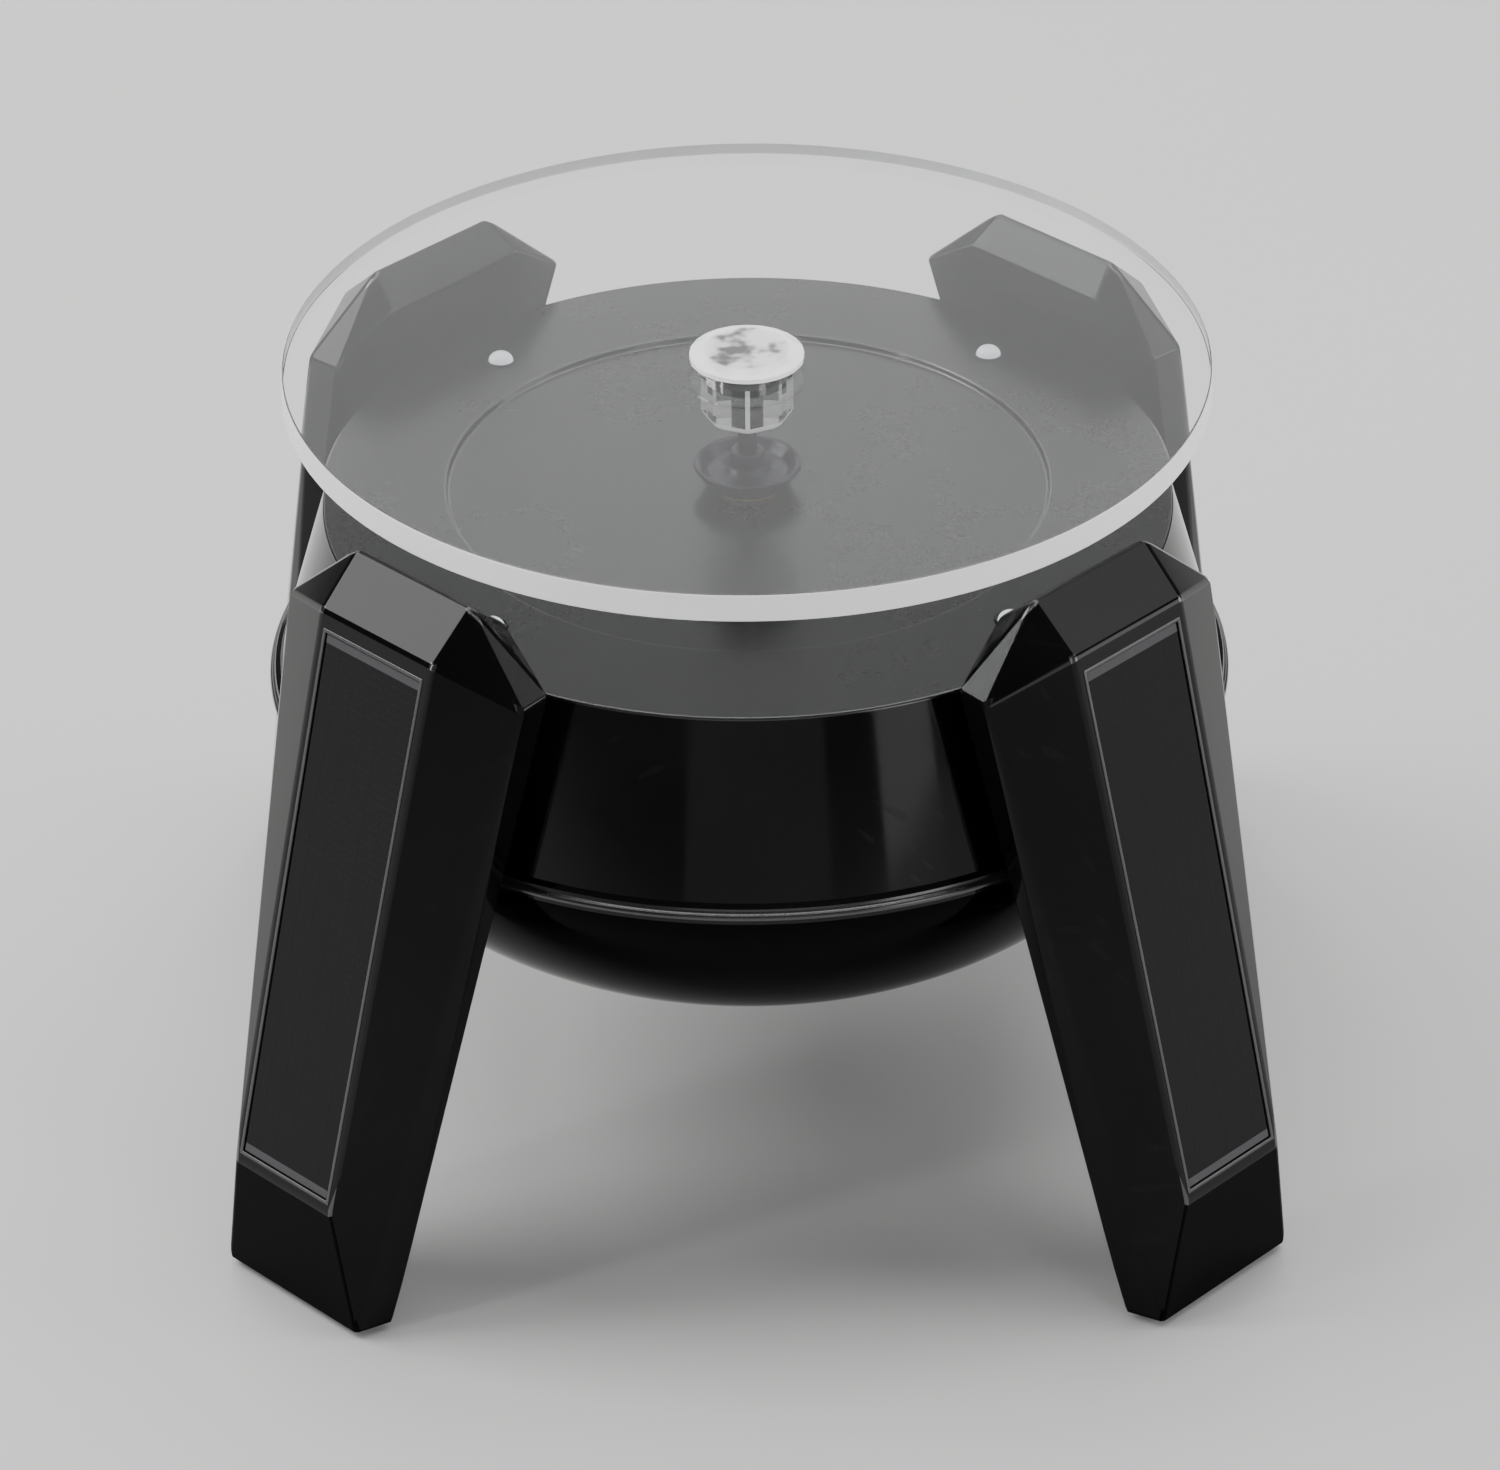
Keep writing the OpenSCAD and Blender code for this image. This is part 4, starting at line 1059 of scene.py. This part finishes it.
    def hollow(self, centre: Point, reach: float, drop: float, steps: int = 48) -> list[Point]:
        """The bowl's curve from its rim down to its flat foot, straighter than an ellipse.

        Args:
            centre: the radius and height that the curve bends round.
            reach: how far it goes outwards.
            drop: how far it goes down.
            steps: stretches along it.

        Returns:
            Its points, from the rim down.
        """
        angles = [math.pi / 2 * k / steps for k in range(steps + 1)]
        out = [reach * max(math.cos(a), 0.0) ** self.bowl_lean for a in angles]
        down = [drop * math.sin(a) ** self.bowl_lean for a in angles]
        return [(centre[0] + x, centre[1] - z) for x, z in zip(out, down)]

    @staticmethod
    def ring(outline: Sequence[Point]) -> list[Point]:
        """Puts an outline's two axis points first and last, so that the lathe leaves the axis open.

        Args:
            outline: a closed outline with two points next to each other on the axis.

        Returns:
            The same points, in a new order.
        """
        on_axis = [k for k, p in enumerate(outline) if p[0] < 1e-6]
        cut = on_axis[1]
        return list(outline[cut:]) + list(outline[:cut])

    def well_walls(self) -> Solid:
        """The battery well's walls and roof, inside the bowl.

        Returns:
            The walls and roof as one solid.
        """
        s = self.sizes
        long, wide, middle = self.well
        wall = self.rib
        solid = Solid()
        low, top = s.base_z + 0.6, self.well_top
        for side in (-1, 1):
            y = middle + side * (wide / 2 + wall / 2)
            solid.block((-long / 2 - wall, y - wall / 2, low), (long / 2 + wall, y + wall / 2, top))
            x = side * (long / 2 + wall / 2)
            solid.block((x - wall / 2, middle - wide / 2, low), (x + wall / 2, middle + wide / 2, top))
        solid.block(
            (-long / 2 - wall, middle - wide / 2 - wall, self.well_top),
            (long / 2 + wall, middle + wide / 2 + wall, self.well_top + wall),
        )
        return solid

    def screw_tubes(self) -> Solid:
        """The four tubes that the housing screws sink into.

        Returns:
            The tubes as one solid.
        """
        s = self.sizes
        solid = Solid()
        inner, outer = self.screw_well_r, self.screw_well_r + self.rib
        seat = s.lip_z - s.lip_t - 5
        outline = [(inner, self.tube_low), (outer, self.tube_low + 0.2), (outer, seat + 4.5)]
        outline += [(self.pilot_r, seat + 4.5), (self.pilot_r, seat), (inner, seat)]
        for angle in self.screw_angles:
            solid.lathe(outline, 40, round_axis(self.screw_at, angle))
        return solid

    def hinge_ears(self) -> Solid:
        """The two ears that carry the door's pin, rounded at their ends.

        Returns:
            The ears as one solid.
        """
        s = self.sizes
        _, _, middle = self.well
        hinge_x, hinge_z, radius = self.hinge[0], s.base_z - self.hinge[1], self.ear_r
        solid = Solid()
        for side in (-1, 1):
            y = middle + side * self.ear_y
            solid.rod(radius, -1, 1, along(Vector((0, 1, 0)), (hinge_x, y, hinge_z)), 32)
            solid.block((hinge_x - radius, y - 1, hinge_z), (hinge_x + radius, y + 1, s.base_z + 1))
        return solid.round(Edge.crisp.value, 60, 2)

    def lamps(self) -> None:
        """The four lamps on the deck: a domed lens in a thin bezel, with its chip inside."""
        s = self.sizes
        lenses = Solid()
        chips = Solid()
        bezels = Solid()
        top = s.deck_z
        for leg in Leg:
            centre = round_axis(self.lamp_at, leg.value)
            flange = [(0.0, top - 3), (1.9, top - 3), (1.9, top - 2.05), (self.lamp_r, top - 2.05)]
            dome = arc((0, top), (self.lamp_r, 1.1), 0, 90, 8)
            lenses.lathe(flange + dome[:-1] + [(0.0, top + 1.1)], 32, centre)
            chips.lathe([(0.0, top - 2.5), (0.9, top - 2.5), (0.55, top - 1.6), (0.0, top - 1.6)], 16, centre)
            bezels.lathe(arc((self.lamp_r + 0.28, top + 0.02), (0.22, 0.2), 0, 330, 11), 32, centre)
        self.keep(lenses.piece("lamp_lenses", 50), "root", "lamp", ["deck_lamps"])
        self.keep(chips.piece("lamp_chips"), "root", "steel")
        self.keep(bezels.piece("lamp_bezels"), "root", "case_black")

    def coupling(self) -> None:
        """The dark cup that drives the disc, and the bush that it turns over."""
        low = self.sizes.deck_z - self.recess_d + 0.9
        outline = [(1.25, low + 1.8), (0.0, low + 1.8), (0.0, low), (5.0, low)]
        outline += arc((5.0, low + 0.3), (0.3, 0.3), -90, -25, 3)
        outline += arc((6.2, low + 2.1), (0.3, 0.3), -10, 100, 6)
        outline += [(5.7, low + 2.2), (4.9, low + 1.25), (4.5, low + 1.1), (3.2, low + 1.4)]
        outline += arc((2.9, low + 2.6), (0.75, 1.0), 225, 180, 4)
        outline += arc((1.75, low + 3.75), (0.28, 0.25), 0, 90, 4)
        outline += [(1.25, low + 3.9)]
        cup = Solid().lathe(self.ring(outline), 96)
        self.keep(cup.piece("drive_cup", 40), "spindle", "coupling_plastic", ["drive_coupling"])

    def underside(self) -> None:
        """The battery door, its pin, the screws and the switch."""
        self.refined("battery_door", "door", "case_black", Edge.moulded, 50)
        self.refined("door_pin", "root", "steel", Edge.crisp, 60)
        self.refined("switch_slider", "slider", "switch_grey", Edge.crisp, 60)
        for node in ("housing_screws", "foot_screws"):
            self.refined(node, "root", "steel", Edge.crisp, 60)


@dataclass
class Turntable(Assembly):
    """The clear disc, its frosted edge, the faceted hub and its post."""

    radius: float = 55.0
    low: float = 93.2
    thick: float = 3.5
    hub_r: float = 5.6
    hub_drop: float = 6.5
    flange_r: float = 6.8
    flange_t: float = 1.0
    seat_d: float = 0.3
    post_r: float = 1.15
    edge_w: float = 0.3

    def build(self) -> None:
        """Builds and dresses every piece."""
        top = self.low + self.thick
        soft = 0.35
        hole = self.hub_r + 0.15
        seat_r, seat_z = self.flange_r + 0.15, top - self.seat_d
        outline = [(hole, self.low), (self.radius - soft, self.low)]
        outline += arc((self.radius - soft, self.low + soft), (soft, soft), -75, 0, 4)
        outline += arc((self.radius - soft, top - soft), (soft, soft), 0, 90, 5)
        outline += [(seat_r, top), (seat_r, seat_z), (hole, seat_z)]
        disc = Solid().lathe(outline, 320).piece("clear_disc", 30)
        self.keep(disc, "turntable", "clear_acrylic", ["turntable_disc"])
        self.frost_edge(disc)
        hub = self.hub().piece("faceted_hub", 12)
        self.keep(hub, "turntable", "hub_acrylic", ["disc_hub"], "clear_acrylic")
        # painted highlight: the hub's bevel strips facing front, back and sides take the glowing frosted
        # finish
        hub.data.materials.append(self.finishes["frosted_rim"])
        strip = 1.6 * self.edge_w * (self.thick + self.hub_drop) * MM * MM
        for face in hub.data.polygons:
            turn = math.atan2(face.center.y, face.center.x)
            square_on = abs(math.sin(2 * turn)) < 0.5 or abs(face.normal.z) > 0.2
            if square_on and face.area < strip:
                face.material_index = 1
        self.keep(self.crown().piece("hub_crown", 12), "turntable", "cut_crown", slot="clear_acrylic")
        post = Solid().rod(self.post_r, self.low - self.hub_drop - 6.2, self.low - 0.5, steps=40)
        made = post.round(0.2, 60, 2).piece("drive_post")
        self.keep(made, "turntable", "coupling_plastic", ["hub_post"], "steel")

    def frost_edge(self, disc: bpy.types.Object) -> None:
        """Gives the disc's outer wall its frosted finish, which carries a painted glow.

        Args:
            disc: the finished disc.
        """
        disc.data.materials.append(self.finishes["frosted_rim"])
        for face in disc.data.polygons:
            reach = math.hypot(face.center.x, face.center.y)
            if reach > (self.radius - 0.3) * MM and abs(face.normal.z) < 0.85:
                face.material_index = 1

    @staticmethod
    def faceted(rings: Sequence[tuple[float, float, int, float]]) -> Solid:
        """The skin round some many-sided rings, each given by its radius, height, sides and turn.

        Args:
            rings: the rings; a turn is a share of one side.

        Returns:
            The solid that they enclose.
        """
        points = []
        for radius, height, sides, offset in rings:
            for k in range(sides):
                angle = math.tau * (k + offset) / sides
                points.append((radius * math.cos(angle), radius * math.sin(angle), height))
        return Solid().hull(points)

    def hub(self) -> Solid:
        """The eight-sided body under the disc, with a bevelled foot.

        Returns:
            The body.
        """
        top = self.low + self.thick - self.seat_d
        foot = self.low - self.hub_drop
        return self.faceted((
            (self.hub_r - 1.0, foot, 8, 0.0), (self.hub_r, foot + 0.9, 8, 0.0),
            (self.hub_r, top - 0.02, 8, 0.0),
        )).round(self.edge_w, 20, 1)

    def crown(self) -> Solid:
        """The cut flange on top of the disc."""
        top = self.low + self.thick
        return self.faceted((
            (self.flange_r, top - self.seat_d, 24, 0.0), (self.flange_r, top + 0.4, 24, 0.0),
            (self.flange_r - 1.1, top + self.flange_t, 12, 0.5), (2.4, top + self.flange_t - 0.05, 8, 0.0),
        ))


@dataclass
class LegSet(Assembly):
    """The four leaning legs, each with its cover, its framed solar cell and its foot pad."""

    sizes: Sizes = field(default_factory=Sizes)
    height: float = 89.7
    depth: float = 9.8
    side_depth: float = 4.6
    ridge_w: float = 9.4
    inner_top_w: float = 10.6
    shoulder_w: float = 19.4
    face_w: float = 9.2
    foot_w: float = 12.6
    foot_z: float = 0.8
    toe_z: float = 17.1
    wall: float = 2.0
    cell_w: tuple[float, float] = (7.7, 7.1)
    cell_low_z: float = 18.6
    cell_t: float = 0.7
    cover_t: float = 1.8

    def build(self) -> None:
        """Builds and dresses every piece of each leg, then the pads."""
        for leg in Leg:
            self.shell(leg)
            self.cover(leg)
            self.cell(leg)
        self.pads()

    def corners(self, depth: float, width: float, z: float) -> list[tuple[float, float, float]]:
        """A pair of corners, one on each side of the leg."""
        reach = self.sizes.back_r(z) + depth
        return [(reach, -width, z), (reach, width, z)]

    def skin(self) -> Solid:
        """The leg's outer shape before anything is cut from it, with softened edges.

        Returns:
            The shape, with the leg pointing along X.
        """
        points = [
            *self.corners(self.depth / 2 + 0.3, self.ridge_w, self.height),
            *self.corners(0, self.inner_top_w, self.height - 3.5),
            *self.corners(self.depth, self.face_w, self.height - 5.3),
            *self.corners(self.side_depth, self.shoulder_w, self.height - 8.9),
            *self.corners(0, self.shoulder_w - 0.4, self.height - 8.9),
            *self.corners(self.depth, self.face_w - 1, self.toe_z),
            *self.corners(self.side_depth + 0.2, self.foot_w - 1.5, self.foot_z),
            *self.corners(0, self.foot_w, self.foot_z),
        ]
        return Solid().hull(points).round(0.45, 8, 3)

    def cell_outline(self, margin: float) -> list[Point]:
        """The cell's outline on the leaning front face, grown by a margin.

        Args:
            margin: how far the outline is grown.

        Returns:
            Its four corners.
        """
        s = self.sizes
        top = s.down(self.height - 7.7) - margin
        low = s.down(self.cell_low_z) + margin
        wide, narrow = self.cell_w[0] + margin, self.cell_w[1] + margin
        return [(top, -wide), (low, -narrow), (low, narrow), (top, wide)]

    def back_outline(self, inset: float) -> list[Point]:
        """The outline of the leg's back face, taken in by the inset.

        Args:
            inset: how far the outline is taken in.

        Returns:
            Its six corners.
        """
        s = self.sizes
        top = s.down(self.height - 3.5) + inset
        shoulder = s.down(self.height - 8.9) + inset * 0.5
        low = s.down(self.foot_z) - 2 * inset
        half = [(top, self.inner_top_w - inset * 0.5), (shoulder, self.shoulder_w - 0.4 - inset),
            (low, self.foot_w - inset)]
        return [(x, -y) for x, y in half] + half[::-1]

    def shell(self, leg: Leg) -> None:
        """The outer shell, hollow behind, with a thin raised frame round the cell's recess.

        Args:
            leg: which leg.
        """
        s = self.sizes
        place = s.on_leg(self.depth)
        recess = Solid().slab(self.cell_outline(0.2), -(self.cell_t + 0.1), 4, place)
        hollow = Solid().slab(self.back_outline(self.wall * 0.6), -2, self.cover_t, s.on_leg(0))
        made = carved(f"leg_{leg.name}", self.skin().turned(leg.value),
            [recess.turned(leg.value), hollow.turned(leg.value)], 20)
        self.keep(made, "root", "case_black", [f"leg_shell_{leg.name}"])
        # painted shade: the toes take the darker copy of the case plastic and the side faces a less
        # reflective copy
        made.data.materials.append(self.finishes["shade_black"])
        made.data.materials.append(self.finishes["side_black"])
        across = about(leg.value).to_3x3() @ Vector((0, 1, 0))
        for face in made.data.polygons:
            toe = face.center.z < (self.toe_z - 1) * MM and face.normal.z < 0.05
            side = abs(face.normal.dot(across)) > 0.4 and face.normal.z < 0.3
            if toe or side:
                face.material_index = 1 if toe else 2
        # painted highlight on the leg's softened edges
        self.edged(made)
        outer, inner = self.cell_outline(0.55), self.cell_outline(0.12)
        rim = Solid()
        for k in range(4):
            corner = [outer[k], outer[(k + 1) % 4], inner[(k + 1) % 4], inner[k]]
            rim.slab(corner, -0.75, 0.12, place)
        bmesh.ops.remove_doubles(rim.bm, verts=rim.bm.verts[:], dist=1e-4)
        inside = [f for f in rim.bm.faces if sum(len(e.link_faces) > 2 for e in f.edges) >= 2 and
            all(len(e.link_faces) > 2 for e in f.edges)]
        bmesh.ops.delete(rim.bm, geom=inside, context="FACES_ONLY")
        rim.round(0.1, 40, 2)
        framed = rim.turned(leg.value).piece(f"cell_frame_{leg.name}", 50)
        # painted highlight: the cell frame takes a brighter, more reflective copy of the case plastic
        self.keep(framed, "root", "edge_sheen", slot="case_black")

    def cover(self, leg: Leg) -> None:
        """The flat inner half of a leg, seated in the shell's open back."""
        self.refined(f"leg_cover_{leg.name}", "root", "case_black", Edge.crisp, 50)

    def cell(self, leg: Leg) -> None:
        """The solar cell, with a UV map that runs across and along it.

        Args:
            leg: which leg.
        """
        place = self.sizes.on_leg(self.depth)
        outline = self.cell_outline(0)
        base = -(self.cell_t + 0.1)
        solid = Solid().slab(outline, base, base + self.cell_t, place).round(0.12, 40, 2)
        layer = solid.bm.loops.layers.uv.new("cell")
        flat = place.inverted()
        top, low = outline[0][0], outline[1][0]
        for face in solid.bm.faces:
            for loop in face.loops:
                spot = flat @ loop.vert.co
                across = (spot.y + self.cell_w[0]) / (2 * self.cell_w[0])
                loop[layer].uv = (across, (spot.x - top) / (low - top))
        made = solid.turned(leg.value).piece(f"solar_panel_{leg.name}")
        self.keep(made, "root", "solar_cell", [f"solar_cell_{leg.name}"])

    def pads(self) -> None:
        """The rubber pads under the feet."""
        self.refined("foot_pads", "root", "foot_rubber", Edge.moulded, 50)


@dataclass
class Works(Assembly):
    """Everything inside the case, dressed as it comes from the CAD frame."""

    slots: dict[str, str] = field(default_factory=dict)

    def build(self) -> None:
        """Gives each CAD node that still shows the finish of its slot."""
        for row in frame["record"]["subparts"]:
            self.slots[row["node"]] = row["material_slot"]
        for name, node in frame["nodes"].items():
            if node.hide_render:
                continue
            node.data.materials.clear()
            node.data.materials.append(self.finishes[self.slots[name]])
            log.info("%s keeps its CAD shape, in %s", name, self.slots[name])


# ---------------------------------------------------------------- studio


@dataclass(frozen=True)
class Panel:
    """A flat rectangular light that faces the object.

    way is its compass angle in degrees, from the camera's side towards the right, and up is its
    angle above the floor. Sizes are in metres, and glow is its radiance.
    """

    name: str
    way: float
    up: float
    distance: float
    width: float
    height: float
    glow: float

    def build(self) -> None:
        """Hangs the light."""
        lamp = bpy.data.lights.new(self.name, "AREA")
        lamp.shape = "RECTANGLE"
        lamp.size = self.width
        lamp.size_y = self.height
        lamp.energy = self.glow * math.pi * self.width * self.height
        turn, rise = math.radians(self.way), math.radians(self.up)
        aim = Vector((0, 0, 0.06))
        out = Vector((math.sin(turn) * math.cos(rise), -math.cos(turn) * math.cos(rise), math.sin(rise)))
        holder = bpy.data.objects.new(self.name, lamp)
        holder.location = aim + out * self.distance
        holder.rotation_euler = (-out).to_track_quat("-Z", "Y").to_euler()
        bpy.context.scene.collection.objects.link(holder)


PANELS = (
    Panel("overhead", 180, 80, 1.15, 1.4, 0.9, 2.6),
    Panel("back_card", 180, 33, 1.5, 1.9, 1.5, 1.15),
    Panel("left_key", -98, 42, 1.15, 0.55, 0.5, 8.0),
    Panel("right_key", 98, 42, 1.15, 0.5, 0.45, 2.0),
    Panel("right_fill", 86, 4, 1.2, 0.9, 0.6, 4.2),
    Panel("right_strip", 36.5, 14, 1.2, 0.3, 0.9, 2.2),
    Panel("left_strip", -63, 18, 1.2, 0.1, 0.9, 8.5),
    Panel("front_card", 1, 12, 1.35, 0.8, 0.8, 0.42),
)


@dataclass
class Studio:
    """A pale floor, soft lights and the camera."""

    finishes: Finishes
    eye: tuple[float, float, float] = (-5.8, -681.0, 473.4)
    aim: tuple[float, float, float] = (0.0, 0.0, 43.7)
    lens: float = 157.9
    roll: float = -0.49

    def build(self) -> None:
        """Sets up everything round the object."""
        self.floor()
        self.sky()
        for panel in PANELS:
            panel.build()
        self.camera()

    def floor(self) -> None:
        """A wide pale floor."""
        solid = Solid()
        bmesh.ops.create_circle(solid.bm, cap_ends=True, segments=96, radius=4000)
        made = solid.piece("floor")
        made.data.materials.append(self.finishes["studio_floor"])

    def sky(self) -> None:
        """Dim, even surroundings."""
        world = bpy.data.worlds.new("studio")
        world.use_nodes = True
        background = world.node_tree.nodes["Background"]
        background.inputs["Color"].default_value = rgb(0.95, 0.97, 1.0)
        background.inputs["Strength"].default_value = 0.16
        bpy.context.scene.world = world

    def camera(self) -> None:
        """The camera, looking down at the front of the stand."""
        lens = bpy.data.cameras.new("camera")
        lens.lens = self.lens
        lens.clip_start = 0.01
        holder = bpy.data.objects.new("camera", lens)
        eye = Vector(self.eye) * MM
        aim = Vector(self.aim) * MM
        look = (aim - eye).to_track_quat("-Z", "Y").to_matrix()
        turn = look @ Matrix.Rotation(math.radians(self.roll), 3, "Z")
        holder.matrix_world = Matrix.Translation(eye) @ turn.to_4x4()
        bpy.context.scene.collection.objects.link(holder)
        bpy.context.scene.camera = holder


def main() -> None:
    """Builds the sub-assemblies in order."""
    logging.basicConfig(level=logging.INFO, format="%(name)s: %(message)s")
    finishes = Finishes()
    Studio(finishes).build()
    Housing(finishes).build()
    Turntable(finishes).build()
    LegSet(finishes).build()
    Works(finishes).build()


if __name__ == "__main__":
    main()
